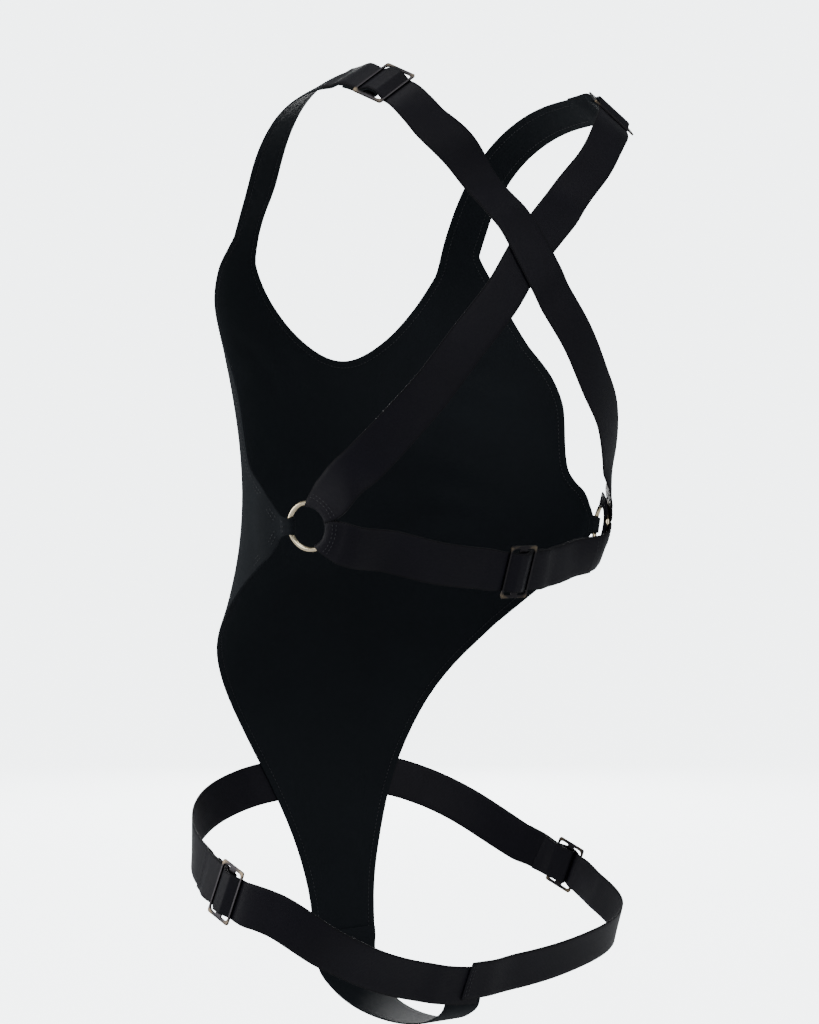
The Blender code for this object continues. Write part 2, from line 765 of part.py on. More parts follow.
def cross_strap(name, route, rise, inner, flip, material):
    """From the ring on one side to the slider behind the other shoulder; one lies on top."""
    start = ring_fold()
    slider_at = route.slider_at
    crossing = route.s[np.argmin(np.abs(route.line[:, 0]) + (route.line[:, 1] < 0))]
    end = [(slider_at + x, h) for x, h in threaded(SHOULDER_TAIL)]
    between = stretch(start[-1][0], end[0][0], on_figure)[1:-1]
    profile = [(s, h + rise * (1 - smoothstep(*CROSSING_FADE, abs(s - crossing))))
               for s, h in start + between + end]
    half = past_slider(slider_at)

    def on_ring_side(s):
        return np.minimum(inner(s), half(s))

    return strap(name, route, profile, on_ring_side, half, material, flip, round_ring)


def panel_bearings():
    """Rows of the panel below its shoulder straps: bearing and height of both ends."""
    chest = np.array(CHEST)
    rows = np.arange(len(chest), dtype=float)
    fine = np.arange(0, len(chest) - 0.75, 0.5)
    on_neck = fine < NECK_ROWS
    upper = [hermite(rows, chest[:, k], fine) for k in range(4)]
    for k in range(2):
        upper[k][on_neck] = hermite(rows[:NECK_ROWS], chest[:NECK_ROWS, k], fine[on_neck])
    belly = np.array(BELLY)
    rows = np.arange(len(belly), dtype=float)
    fine = np.concatenate([np.arange(0, BELLY_FINE, 0.5), np.arange(BELLY_FINE, len(belly))])
    lower = [tuple(hermite(rows, belly[:, k], fine)) for k in range(3)]
    lower = [tuple([0.0] * len(fine)), lower[0], lower[1], lower[2]]
    return np.array(upper).T, np.array(lower).T


def bearing_of(p):
    widest = figure_rows(p[..., 2])[1]
    return np.degrees(np.arctan2(p[..., 0], widest - p[..., 1]))


def front_panel(route, ring, material):
    """The cloth front with its shoulder straps, and a tab folded round each ring."""
    columns = list(range(PANEL_COLUMNS + 1))
    step = PANEL_COLUMNS // STRAP_COLUMNS
    coarse = columns[::step]
    slider_at = route.slider_at
    reach = route.s[np.argmax(route.line[:, 2] * (route.line[:, 1] < 0) < CHEST_END)] - slider_at
    strap_profile = [(slider_at + x, h) for x, h in fixed(reach)]
    half = past_slider(slider_at)
    sheets = sheet_rows(route, strap_profile, CLOTH, half, half, len(coarse) - 1)
    points = {"under": {}, "over": {}}
    rows = []
    for i in range(len(strap_profile)):
        rows.append((i, coarse))
        for j in coarse:
            for name, grid in zip(("under", "over"), sheets):
                points[name][i, j] = grid[i, j // step]
    upper, lower = panel_bearings()
    across = unit(np.cross(ring.normal, (0, 0, 1)))
    across = across if across[1] < 0 else -across
    up = unit(np.array([0, 0, 1]) - ring.normal[2] * ring.normal)
    tip = []
    for height, share in zip(TIP_HEIGHTS, (1, 0, -1)):
        corner = ring.centre + across * TIP_REACH + up * TIP_HALF * share
        tip.append((0.0, height, float(bearing_of(corner)), corner[2]))
    table = np.vstack([upper, np.array(tip), lower])
    share = np.linspace(0, 1, PANEL_COLUMNS + 1)
    table[:, 0] = np.maximum(table[:, 0], 0)
    bearing = table[:, :1] + (table[:, 2:3] - table[:, :1]) * share
    height = table[:, 1:2] + (table[:, 3:4] - table[:, 1:2]) * share
    rest, normal = lay(front_ray(bearing, height), [ring])
    rest[..., 0] = np.where(bearing > 0, rest[..., 0], 0)
    normal[..., 0] = np.where(bearing > 0, normal[..., 0], 0)
    away = np.linalg.norm(rest - ring.centre, axis=-1)
    lift = ring_lift(away)[..., None]
    first = len(rows)
    tip_rows = [first + len(upper) + k for k in range(3)]
    tab = [(d, h) for d, h in reversed(ring_fold(TAB_FOLD + FOLD_BEND + WEB / 2)) if d < TIP_REACH]
    tab_points = tab_grid(tab, ring, across, up)
    for i in range(len(table)):
        row = list(columns)
        for j in columns:
            for name, side in (("under", -0.5), ("over", 0.5)):
                points[name][first + i, j] = rest[i, j] + normal[i, j] * (lift[i, j] + side * CLOTH)
        if first + i in tip_rows:
            k = first + i - tip_rows[0]
            for m in range(len(tab)):
                j = PANEL_COLUMNS + 1 + m
                row.append(j)
                for name, grid in zip(("under", "over"), tab_points):
                    points[name][first + i, j] = grid[m][k]
        rows.append((first + i, row))
    return build_panel(points, rows, turned_rows(strap_profile), material)


def tab_grid(profile, ring, across, up):
    """Points of the tab that folds round a ring, three across for each step of its profile."""
    profile = np.array(profile)
    grids = ([], [])
    for i, (d, h) in enumerate(profile):
        before = profile[max(i - 1, 0)]
        after = profile[min(i + 1, len(profile) - 1)]
        run = unit(after - before)
        off = np.array([run[1], -run[0]])
        half = TAB_HALF + (TIP_HALF - TAB_HALF) * float(smoothstep(TAB_FLARE, TIP_REACH, d)) * (h > FIRST * 2)
        for grid, side in zip(grids, (-0.5, 0.5)):
            s, lift = (d, h) + side * CLOTH * off
            grid.append([ring.centre + across * s + up * half * k + ring.normal * lift
                         for k in (1, 0, -1)])
    return grids


def build_panel(points, rows, turned, material):
    bm = bmesh.new()
    sheets = [{key: bm.verts.new(place) for key, place in points[name].items()}
              for name in ("under", "over")]
    wall_faces(bm, sheets[0], sheets[1], rows, turned)
    middle = [face for face in bm.faces if all(abs(v.co.x) < 1e-6 for v in face.verts)]
    bmesh.ops.delete(bm, geom=middle, context="FACES")
    copy = bmesh.ops.duplicate(bm, geom=bm.verts[:] + bm.edges[:] + bm.faces[:])["geom"]
    for vert in (g for g in copy if isinstance(g, bmesh.types.BMVert)):
        vert.co.x = -vert.co.x
    bmesh.ops.reverse_faces(bm, faces=[g for g in copy if isinstance(g, bmesh.types.BMFace)])
    near = [v for v in bm.verts if abs(v.co.x) < 1e-6]
    bmesh.ops.remove_doubles(bm, verts=near, dist=1e-6)
    return finish_object(bm, "front_panel", material)


def crotch_strip(material):
    """A narrow strip under the wearer, from the panel's lower edge to the join at the back."""
    table = np.array(CROTCH)
    knots = np.arange(len(table), dtype=float)
    fine = np.arange(0, len(table) - 0.75, 0.5)
    depth, height, half = (hermite(knots, table[:, k], fine) for k in range(3))
    middle = np.stack([depth, height], axis=1)
    on_figure = to_figure(np.stack([0 * depth, depth, height], axis=1))[0][:, 1:]
    share = smoothstep(*CROTCH_LEAVES, height)[:, None]
    middle = middle * (1 - share) + on_figure * share
    run = unit(np.gradient(middle, axis=0))
    down = np.stack([run[:, 1], -run[:, 0]], axis=1)
    bm = bmesh.new()
    columns = 4
    sheets = []
    for side in (FIRST - CLOTH / 2, FIRST + CLOTH / 2):
        place = middle + down * side
        sheets.append({(i, j): bm.verts.new((half[i] * (2 * j / columns - 1), place[i, 0], place[i, 1]))
                       for i in range(len(fine)) for j in range(columns + 1)})
    wall_faces(bm, sheets[0], sheets[1], [(i, list(range(columns + 1))) for i in range(len(fine))])
    return finish_object(bm, "crotch_strip", material)


def corner_mitre(ring, back_point, cross_point):
    """Half width of both straps on the sides where they meet in a V at a ring."""
    back_away = radial_points(ring, back_point)[0]
    cross_away = radial_points(ring, cross_point)[0]
    return mitre(math.acos(float(back_away @ cross_away)) / 2)


def back_straps(rings, inner, slider_spot, material):
    """The strap from ring to ring: a long part with the tail, and a short sewn part."""
    start = radial_points(rings["left"], BACK_ROUTE[0])[1]
    end = radial_points(rings["right"], BACK_ROUTE[-1])[1]
    route = Route(start + list(BACK_ROUTE) + end[::-1], list(rings.values()), slider_spot)
    slider_at, total = route.slider_at, route.length
    tail = LAYER_STEP * math.floor((total - slider_at - BACK_TAIL_STOP) / LAYER_STEP)
    half = past_slider(slider_at)

    def upper_left(s):
        return np.minimum(inner["left"](s), half(s))

    def upper_right(s):
        return np.minimum(inner["right"](total - s), half(s))

    def round_far_ring(s, w):
        d, across = round_ring(total - s, w)
        return total - d, across

    first = ring_fold()
    last = [(slider_at + x, h) for x, h in threaded(tail)]
    between = stretch(first[-1][0], last[0][0], on_figure)[1:-1]
    strap("back_strap_left", route, first + between + last, upper_left, half, material,
          moved=round_ring)
    from_ring = [(total - d, h) for d, h in ring_fold()]
    to_slider = [(slider_at + x, h) for x, h in fixed(from_ring[-1][0] - slider_at)]
    strap("back_strap_right", route, to_slider[:-1] + from_ring[::-1], upper_right, half, material,
          moved=round_far_ring)
    return route


def leg_straps(side, points, spot, material):
    """The hip strap of one side: the long part from the join, the short part from the panel."""
    route = Route(points, [], spot)
    slider_at, end = route.slider_at, route.length
    middle = route.s[np.argmin(np.abs(route.line[:, 0]) + (route.line[:, 1] < 0))]
    half = past_slider(slider_at)
    flip = side == "right"
    start = middle - (JOIN_OVERLAP if flip else JOIN_UNDERLAP)

    def height(s):
        over_strip, over_left = (1 - smoothstep(*fade, s - middle) for fade in (OVER_STRIP, OVER_LEFT))
        return FIRST + LAYER * (over_strip + over_left * flip)

    def aslant(s, w):
        share = 1 - smoothstep(start, start + SLANT_FADE, s)
        return s - JOIN_SLANT * share * w * flip, w

    last = [(slider_at + x, h) for x, h in threaded(LEG_TAIL)]
    profile = stretch(start, last[0][0], height)[:-1] + last
    strap(f"leg_strap_{side}", route, profile, half, half, material, flip, aslant)
    rise_from, rise_to = (end - fade for fade in ON_PANEL)
    profile = []
    for x, h in fixed(end - slider_at):
        on_panel = LAYER * smoothstep(rise_from, rise_to, slider_at + x)
        profile.append((slider_at + x, h + float(on_panel)))
    strap(f"leg_front_{side}", route, profile, half, half, material, flip)
    return route


def build():
    clear_scene()
    cloth = colour_material("panel_cloth", (0.012, 0.014, 0.020), 0.85, 0.0)
    webbing = colour_material("elastic_webbing", (0.013, 0.012, 0.020), 0.6, 0.0)
    brass = colour_material("ring_brass", (0.62, 0.53, 0.38), 0.25, 1.0)
    black_metal = colour_material("slider_metal", (0.045, 0.042, 0.045), 0.3, 1.0)

    ring = FlatSpot(RING_CENTRE, ring_facing())
    rings = {"left": ring, "right": ring.mirrored()}
    shoulder_spot = slider_rest(OVER_SHOULDER, SHOULDER_SLIDER, BELOW_SLIDER)
    back_spot = slider_rest(BACK_ROUTE, BACK_SLIDER)
    whole = slider_mesh()
    inner = {"left": corner_mitre(rings["left"], BACK_ROUTE[0], across_middle(CROSS_FROM_RIGHT[0])),
             "right": corner_mitre(rings["right"], BACK_ROUTE[-1], CROSS_FROM_LEFT[0])}

    for side, points, far in (("left", CROSS_FROM_LEFT, "right"), ("right", CROSS_FROM_RIGHT, "left")):
        flip = side == "right"
        start = radial_points(rings["right"], points[0])[1]
        route = Route(start + list(points) + list(OVER_SHOULDER), [rings["right"]], shoulder_spot)
        rise = 0.0 if flip else WEB + CROSSING_GAP
        cross_strap(f"cross_strap_{side}", route, rise, inner[far], flip, webbing)
        slider_object(f"slider_shoulder_{side}", whole, route, shoulder_spot, black_metal, flip)
    over = Route(list(CROSS_FROM_LEFT[-3:]) + list(OVER_SHOULDER), [], shoulder_spot)
    front_panel(over, ring, cloth)
    crotch_strip(cloth)
    back = back_straps(rings, inner, back_spot, webbing)
    slider_object("slider_back", whole, back, back_spot, black_metal)
    for side, points, place in (("left", LEG_FROM_LEFT, LEG_SLIDER_LEFT),
                                ("right", LEG_FROM_RIGHT, LEG_SLIDER_RIGHT)):
        spot = slider_rest(points, place)
        route = leg_straps(side, points, spot, webbing)
        slider_object(f"slider_leg_{side}", whole, route, spot, black_metal, side == "right")
        ring_object(f"ring_{side}", ring, brass, side == "right")


build()
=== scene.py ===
# %% [markdown]
# # A wrestling bodysuit with a harness back
#
# The real garment is a stretch cloth front that ends at the sides, held at the back by satin
# elastic webbing: two straps that cross, one from ring to ring, and one round each hip. The packed
# model gives each cut piece as a plain solid. This lesson swaps the soft ones for finer cloth laid
# along the same lines, rebuilds the rings and the sliders, and gives every surface its finish.

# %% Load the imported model
import math

import bmesh
import bpy
import numpy as np
from mathutils import Matrix, Vector


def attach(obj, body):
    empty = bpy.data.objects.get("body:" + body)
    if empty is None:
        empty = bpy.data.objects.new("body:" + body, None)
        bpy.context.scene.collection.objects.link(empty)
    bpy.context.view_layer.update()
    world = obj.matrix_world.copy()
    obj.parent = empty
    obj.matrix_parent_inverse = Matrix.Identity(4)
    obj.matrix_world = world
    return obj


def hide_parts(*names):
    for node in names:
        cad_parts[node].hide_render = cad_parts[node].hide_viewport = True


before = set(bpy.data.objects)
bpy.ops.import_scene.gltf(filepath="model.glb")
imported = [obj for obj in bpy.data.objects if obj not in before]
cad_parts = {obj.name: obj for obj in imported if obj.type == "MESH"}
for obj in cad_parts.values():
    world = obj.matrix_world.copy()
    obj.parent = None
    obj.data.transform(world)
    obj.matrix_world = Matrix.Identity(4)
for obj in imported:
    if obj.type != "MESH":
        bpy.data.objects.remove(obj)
bpy.context.view_layer.update()

# %% [markdown]
# ## The camera
#
# The photograph looks at the back from the wearer's left, level with the small of the back, from
# about 1.7 metres. A long lens keeps the straps nearly parallel, as they are in the picture.

# %% Camera at the photograph's place
CAMERA_PLACE = (0.975, 1.3926, -0.312)
CAMERA_LOOK = Vector((-0.574, -0.819, 0.0))
LENS = 77.34

camera_data = bpy.data.cameras.new("camera")
camera_data.lens = LENS
camera_data.sensor_width = 36
camera = bpy.data.objects.new("camera", camera_data)
camera.location = CAMERA_PLACE
camera.rotation_euler = CAMERA_LOOK.to_track_quat("-Z", "Y").to_euler()
bpy.context.scene.collection.objects.link(camera)
bpy.context.scene.camera = camera
print("camera", CAMERA_PLACE, "lens", LENS)

# %% [markdown]
# ## Floor and light
#
# Black satin only shows its shape by what it mirrors, so wide soft lights stand at both sides of
# the camera, in front of the garment and above it. The backdrop and the floor are as white as the
# photograph's. They glow only towards the camera, because a real white room this bright would
# turn the black cloth grey. The floor lies a little under the garment, held at its shoulders.

# %% Floor and lights
FLOOR_HEIGHT = -0.80
BACKDROP = (0.93, 0.98, 1.0)
BACKDROP_GLOW = 5.0
FLOOR_GLOW = 4.8
ROOM_LIGHT = 0.34


def add_object(name, mesh):
    item = bpy.data.objects.new(name, mesh)
    bpy.context.scene.collection.objects.link(item)
    return item


def plain_material(name, colour, roughness, metallic=0.0):
    material = bpy.data.materials.new(name)
    material.use_nodes = True
    shader = material.node_tree.nodes["Principled BSDF"]
    shader.inputs["Base Color"].default_value = (*colour, 1)
    shader.inputs["Roughness"].default_value = roughness
    shader.inputs["Metallic"].default_value = metallic
    return material, material.node_tree, shader


floor_mesh = bpy.data.meshes.new("floor")
bm = bmesh.new()
bmesh.ops.create_grid(bm, x_segments=1, y_segments=1, size=8,
                      matrix=Matrix.Translation((0, 0, FLOOR_HEIGHT)))
bm.to_mesh(floor_mesh)
bm.free()
floor = add_object("floor", floor_mesh)
pale_floor, tree, shader = plain_material("pale_floor", (0.62, 0.63, 0.64), 0.9)
towards_camera = tree.nodes.new("ShaderNodeLightPath").outputs["Is Camera Ray"]
shader.inputs["Emission Color"].default_value = (*BACKDROP, 1)
glow = tree.nodes.new("ShaderNodeMath")
glow.operation = "MULTIPLY"
glow.inputs[1].default_value = FLOOR_GLOW
tree.links.new(towards_camera, glow.inputs[0])
tree.links.new(glow.outputs[0], shader.inputs["Emission Strength"])
floor_mesh.materials.append(pale_floor)

world = bpy.data.worlds.new("studio")
world.use_nodes = True
sky = world.node_tree.nodes["Background"]
sky.inputs["Color"].default_value = (*BACKDROP, 1)
brightness = world.node_tree.nodes.new("ShaderNodeMapRange")
brightness.inputs["To Min"].default_value = ROOM_LIGHT
brightness.inputs["To Max"].default_value = BACKDROP_GLOW
seen = world.node_tree.nodes.new("ShaderNodeLightPath").outputs["Is Camera Ray"]
world.node_tree.links.new(seen, brightness.inputs["Value"])
world.node_tree.links.new(brightness.outputs[0], sky.inputs["Strength"])
bpy.context.scene.world = world

LIGHTS = (
    ("key", (1.9, 0.5, 0.6), 1.5, 22),
    ("fill", (-0.5, 2.2, 0.3), 1.6, 18),
    ("top", (0.2, 0.5, 1.7), 1.4, 18),
    ("front", (-1.3, -1.9, 0.2), 1.4, 46),
    ("front_side", (1.9, -1.3, -0.1), 1.4, 26),
)
for name, place, size, power in LIGHTS:
    light = bpy.data.lights.new(name, "AREA")
    light.shape = "DISK"
    light.size = size
    light.energy = power
    lamp = bpy.data.objects.new(name, light)
    lamp.location = place
    lamp.rotation_euler = (Vector((0, 0, -0.35)) - Vector(place)).to_track_quat("-Z", "Y").to_euler()
    bpy.context.scene.collection.objects.link(lamp)
print("lights:", [light[0] for light in LIGHTS])

# %% [markdown]
# ## Shared effects as node groups
#
# Two effects return in several finishes: the woven or knitted relief of cloth, and the soft
# unevenness of a used surface. Each is built once as a group that gives out values only, and the
# materials place it with their own pitch and strength.

# %% Helpers for nodes


def math_node(tree, operation, first, second=None):
    """A maths node; each side is a number or another node's output."""
    node = tree.nodes.new("ShaderNodeMath")
    node.operation = operation
    for socket, value in zip(node.inputs, (first, second)):
        if isinstance(value, (int, float)):
            socket.default_value = value
        elif value is not None:
            tree.links.new(value, socket)
    return node.outputs[0]


def value_group(name, inputs, outputs):
    """An empty group of values with its input and output nodes."""
    tree = bpy.data.node_groups.new(name, "ShaderNodeTree")
    for label, default in inputs.items():
        kind = "NodeSocketVector" if default is None else "NodeSocketFloat"
        socket = tree.interface.new_socket(name=label, in_out="INPUT", socket_type=kind)
        if default is not None:
            socket.default_value = default
    for label in outputs:
        tree.interface.new_socket(name=label, in_out="OUTPUT", socket_type="NodeSocketFloat")
    return tree, tree.nodes.new("NodeGroupInput"), tree.nodes.new("NodeGroupOutput")


def wave(tree, coordinate, pitch):
    """A smooth wave from 0 to 1 along a coordinate."""
    turns = math_node(tree, "DIVIDE", coordinate, pitch)
    sine = math_node(tree, "SINE", math_node(tree, "MULTIPLY", turns, 2 * math.pi))
    return math_node(tree, "ADD", math_node(tree, "MULTIPLY", sine, 0.5), 0.5)


print("helpers:", [helper.__name__ for helper in (math_node, value_group, wave)])

# %% The relief of woven and knitted cloth
cloth_relief, relief_in, relief_out = value_group(
    "cloth_relief", {"Place": None, "Cord Pitch": 0.001, "Pick Pitch": 0.001, "Lean": 0.0},
    ("Height", "Cord"))
split = cloth_relief.nodes.new("ShaderNodeSeparateXYZ")
cloth_relief.links.new(relief_in.outputs["Place"], split.inputs[0])
leaned = math_node(cloth_relief, "ADD", split.outputs["X"],
                   math_node(cloth_relief, "MULTIPLY",
                             wave(cloth_relief, split.outputs["Y"], relief_in.outputs["Cord Pitch"]),
                             relief_in.outputs["Lean"]))
cord = wave(cloth_relief, split.outputs["Y"], relief_in.outputs["Cord Pitch"])
pick = wave(cloth_relief, leaned, relief_in.outputs["Pick Pitch"])
height = math_node(cloth_relief, "ADD", math_node(cloth_relief, "MULTIPLY", cord, 0.6),
                   math_node(cloth_relief, "MULTIPLY", pick, 0.4))
cloth_relief.links.new(height, relief_out.inputs["Height"])
cloth_relief.links.new(cord, relief_out.inputs["Cord"])
print("relief nodes:", len(cloth_relief.nodes))

# %% The soft unevenness of a used surface
used_look, used_in, used_out = value_group(
    "used_look", {"Place": None, "Large": 20.0, "Small": 300.0}, ("Cloudy", "Fine"))
for scale_name, detail, out_name in (("Large", 3.0, "Cloudy"), ("Small", 2.0, "Fine")):
    noise = used_look.nodes.new("ShaderNodeTexNoise")
    noise.inputs["Detail"].default_value = detail
    used_look.links.new(used_in.outputs["Place"], noise.inputs["Vector"])
    used_look.links.new(used_in.outputs[scale_name], noise.inputs["Scale"])
    used_look.links.new(noise.outputs["Fac"], used_out.inputs[out_name])
print("groups:", [group.name for group in bpy.data.node_groups])

# %% [markdown]
# ## The finishes
#
# The webbing is satin elastic: a dark navy face with a soft gloss, fine cords along it, and small
# teeth along both edges where the weft turns. The front is a matte stretch knit, a little bluer.
# Rings are polished pale brass, sliders black plated metal whose corners are painted warm: worn plating, and
# a painted highlight.
# The cloth patterns read the flat map of each piece, in metres, so they follow it round each bend.

# %% Helpers for materials


def place_group(tree, group, **values):
    node = tree.nodes.new("ShaderNodeGroup")
    node.node_tree = group
    for label, value in values.items():
        socket = node.inputs[label.replace("_", " ")]
        if isinstance(value, (int, float)):
            socket.default_value = value
        else:
            tree.links.new(value, socket)
    return node


def colour_mix(tree, mask, dark, light):
    """A mix of two colours by a mask; a side may also be another mix."""
    node = tree.nodes.new("ShaderNodeMix")
    node.data_type = "RGBA"
    tree.links.new(mask, node.inputs["Factor"])
    for socket, colour in zip(("A", "B"), (dark, light)):
        target = [s for s in node.inputs if s.name == socket and s.type == "RGBA"][0]
        if isinstance(colour, tuple):
            target.default_value = (*colour, 1)
        else:
            tree.links.new(colour, target)
    return [s for s in node.outputs if s.type == "RGBA"][0]


def bump(tree, shader, height, distance, strength=1.0):
    node = tree.nodes.new("ShaderNodeBump")
    node.inputs["Distance"].default_value = distance
    node.inputs["Strength"].default_value = strength
    tree.links.new(height, node.inputs["Height"])
    tree.links.new(node.outputs[0], shader.inputs["Normal"])


def ranged(tree, value, low, high, start=0.0, end=1.0):
    node = tree.nodes.new("ShaderNodeMapRange")
    for label, number in (("From Min", start), ("From Max", end), ("To Min", low), ("To Max", high)):
        node.inputs[label].default_value = number
    tree.links.new(value, node.inputs["Value"])
    return node.outputs[0]


def flat_map(tree):
    node = tree.nodes.new("ShaderNodeUVMap")
    node.uv_map = "flat"
    return node.outputs[0]


def object_place(tree):
    return tree.nodes.new("ShaderNodeTexCoord").outputs["Object"]


print("helpers:", [helper.__name__ for helper in (place_group, colour_mix, bump, ranged, flat_map)])

# %% Satin elastic webbing
WEB_HALF = 0.016
satin_elastic, tree, shader = plain_material("satin_elastic", (0.003, 0.003, 0.005), 0.42)
shader.inputs["Specular IOR Level"].default_value = 0.11
flat = flat_map(tree)
weave = place_group(tree, cloth_relief, Place=flat, Cord_Pitch=0.0011, Pick_Pitch=0.0006, Lean=0.0)
used = place_group(tree, used_look, Place=object_place(tree), Large=26.0, Small=700.0)
across = tree.nodes.new("ShaderNodeSeparateXYZ")
tree.links.new(flat, across.inputs[0])
from_middle = math_node(tree, "ABSOLUTE", across.outputs["Y"])
selvedge = ranged(tree, from_middle, 0.0, 1.0, WEB_HALF - 0.0014, WEB_HALF - 0.0009)
teeth = math_node(tree, "MULTIPLY", wave(tree, across.outputs["X"], 0.0016), selvedge)
body = colour_mix(tree, used.outputs["Cloudy"], (0.0018, 0.0016, 0.0034), (0.0040, 0.0036, 0.0072))
edged = colour_mix(tree, teeth, body, (0.0009, 0.0008, 0.0012))
tree.links.new(edged, shader.inputs["Base Color"])
gloss = ranged(tree, used.outputs["Fine"], 0.36, 0.50)
tree.links.new(math_node(tree, "ADD", gloss, math_node(tree, "MULTIPLY", selvedge, 0.12)),
               shader.inputs["Roughness"])
relief = math_node(tree, "ADD", weave.outputs["Height"], math_node(tree, "MULTIPLY", teeth, -1.6))
bump(tree, shader, relief, 0.00012, 0.8)
shader.inputs["Sheen Weight"].default_value = 0.02
shader.inputs["Sheen Roughness"].default_value = 0.4
print("satin_elastic", "nodes:", len(tree.nodes))

# %% Matte stretch knit
stretch_knit, tree, shader = plain_material("stretch_knit", (0.003, 0.004, 0.005), 0.72)
shader.inputs["Specular IOR Level"].default_value = 0.08
flat = flat_map(tree)
knit = place_group(tree, cloth_relief, Place=flat, Cord_Pitch=0.0009, Pick_Pitch=0.0007, Lean=0.0005)
used = place_group(tree, used_look, Place=object_place(tree), Large=14.0, Small=900.0)
body = colour_mix(tree, used.outputs["Cloudy"], (0.0034, 0.0046, 0.0062), (0.0062, 0.0082, 0.0108))
threads = colour_mix(tree, ranged(tree, knit.outputs["Cord"], 0.0, 0.35), body, (0.0014, 0.0019, 0.0026))
tree.links.new(threads, shader.inputs["Base Color"])
tree.links.new(ranged(tree, used.outputs["Fine"], 0.62, 0.80), shader.inputs["Roughness"])
knitted = math_node(tree, "ADD", knit.outputs["Height"],
                    math_node(tree, "MULTIPLY", used.outputs["Fine"], 0.5))
bump(tree, shader, knitted, 0.00014, 0.8)
shader.inputs["Sheen Weight"].default_value = 0.02
shader.inputs["Sheen Roughness"].default_value = 0.5
shader.inputs["Sheen Tint"].default_value = (0.75, 0.88, 1.0, 1)
print("stretch_knit", "nodes:", len(tree.nodes))

# %% Dark sewing thread
sewing_thread, tree, shader = plain_material("sewing_thread", (0.010, 0.010, 0.014), 0.5)
used = place_group(tree, used_look, Place=object_place(tree), Large=60.0, Small=2500.0)
tree.links.new(colour_mix(tree, used.outputs["Fine"], (0.005, 0.005, 0.008), (0.014, 0.014, 0.020)),
               shader.inputs["Base Color"])
bump(tree, shader, used.outputs["Fine"], 0.00006, 0.6)
print("sewing_thread", "nodes:", len(tree.nodes))

# %% Polished pale brass
pale_brass, tree, shader = plain_material("pale_brass", (0.62, 0.52, 0.36), 0.2, 1.0)
used = place_group(tree, used_look, Place=object_place(tree), Large=70.0, Small=1400.0)
tree.links.new(colour_mix(tree, used.outputs["Cloudy"], (0.50, 0.40, 0.25), (0.74, 0.65, 0.48)),
               shader.inputs["Base Color"])
tree.links.new(ranged(tree, used.outputs["Cloudy"], 0.14, 0.34), shader.inputs["Roughness"])
bump(tree, shader, used.outputs["Fine"], 0.00003, 0.35)
print("pale_brass", "nodes:", len(tree.nodes))

# %% Black plated metal, with worn plating and a painted highlight at its corners
black_plate, tree, shader = plain_material("black_plate", (0.03, 0.028, 0.03), 0.3, 1.0)
used = place_group(tree, used_look, Place=object_place(tree), Large=120.0, Small=1800.0)
edge = tree.nodes.new("ShaderNodeAttribute")
edge.attribute_name = "wear_and_highlight"
# The warm brass colour at the corners is worn plating and also a painted highlight, standing in for the
# glints that rounded corners catch.
patches = ranged(tree, used.outputs["Cloudy"], 0.0, 1.0, 0.35, 0.65)
wear_and_highlight_mask = math_node(tree, "MULTIPLY", edge.outputs["Fac"], patches)
plated = colour_mix(tree, used.outputs["Fine"], (0.012, 0.011, 0.013), (0.034, 0.031, 0.034))
tree.links.new(colour_mix(tree, wear_and_highlight_mask, plated, (0.26, 0.20, 0.13)), shader.inputs["Base Color"])
tree.links.new(ranged(tree, used.outputs["Cloudy"], 0.22, 0.38), shader.inputs["Roughness"])
bump(tree, shader, used.outputs["Fine"], 0.00003, 0.3)
print("finishes:", [m.name for m in (satin_elastic, stretch_knit, sewing_thread, pale_brass, black_plate)])

# %% [markdown]
# ## The figure that the garment is worn on
#
# Every strap and the front lie on one smooth general figure, which isn't shown. It is a few rows of
# widths and depths joined by smooth curves, with a rounded bar for the shoulders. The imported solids
# were laid on the same figure, so a finer strip that is laid on it falls inside its own solid.

# %% Rows of the figure
# height, half width, widest place, front, back, and how square the front and the back are
FIGURE = (
    (-0.730, 0.172, 0.000, -0.080, 0.060, 2.9, 3.2),
    (-0.690, 0.175, 0.000, -0.084, 0.066, 2.9, 3.2),
    (-0.650, 0.179, 0.000, -0.089, 0.079, 2.8, 3.2),
    (-0.612, 0.180, 0.002, -0.094, 0.098, 2.6, 3.1),
    (-0.573, 0.176, 0.004, -0.100, 0.115, 2.5, 2.7),
    (-0.535, 0.173, 0.004, -0.108, 0.122, 2.5, 2.5),
    (-0.496, 0.168, 0.002, -0.115, 0.112, 2.5, 2.5),
    (-0.457, 0.161, 0.000, -0.118, 0.099, 2.5, 2.5),
    (-0.420, 0.154, 0.003, -0.115, 0.093, 2.4, 2.4),
    (-0.380, 0.146, 0.008, -0.106, 0.097, 2.2, 2.3),
    (-0.341, 0.144, 0.015, -0.094, 0.110, 2.1, 2.3),
    (-0.303, 0.147, 0.022, -0.087, 0.122, 2.0, 2.4),
    (-0.264, 0.151, 0.025, -0.085, 0.131, 2.0, 2.5),
    (-0.225, 0.155, 0.028, -0.089, 0.140, 2.15, 2.5),
    (-0.190, 0.158, 0.030, -0.094, 0.148, 2.4, 2.4),
    (-0.150, 0.161, 0.030, -0.095, 0.151, 2.8, 2.4),
    (-0.100, 0.160, 0.030, -0.092, 0.150, 2.7, 2.4),
    (-0.060, 0.158, 0.030, -0.088, 0.146, 2.6, 2.4),
)
TORSO_TOP = -0.130
TORSO_CAP = 0.120
SHOULDER_ACROSS = 0.109
SHOULDER_Y = 0.066
SHOULDER_DEPTH = 0.075
SHOULDER_REACH = 0.105
SHOULDER_RISE = 0.073
SHOULDER_SLOPE = 0.60
BODY_SCALE = 0.12
BODY_BLEND = 0.020
SHOULDER_SHARE = 0.65
SHOULDER_ROUND = 0.02
NEAREST_STEPS = 12
RAY_REACH = (0.02, 0.30)
RAY_STEPS = 40


def smoothstep(low, high, value):
    """Zero below the low value, one above the high one, and a soft step between."""
    t = np.clip((value - low) / (high - low), 0.0, 1.0)
    return t * t * (3 - 2 * t)


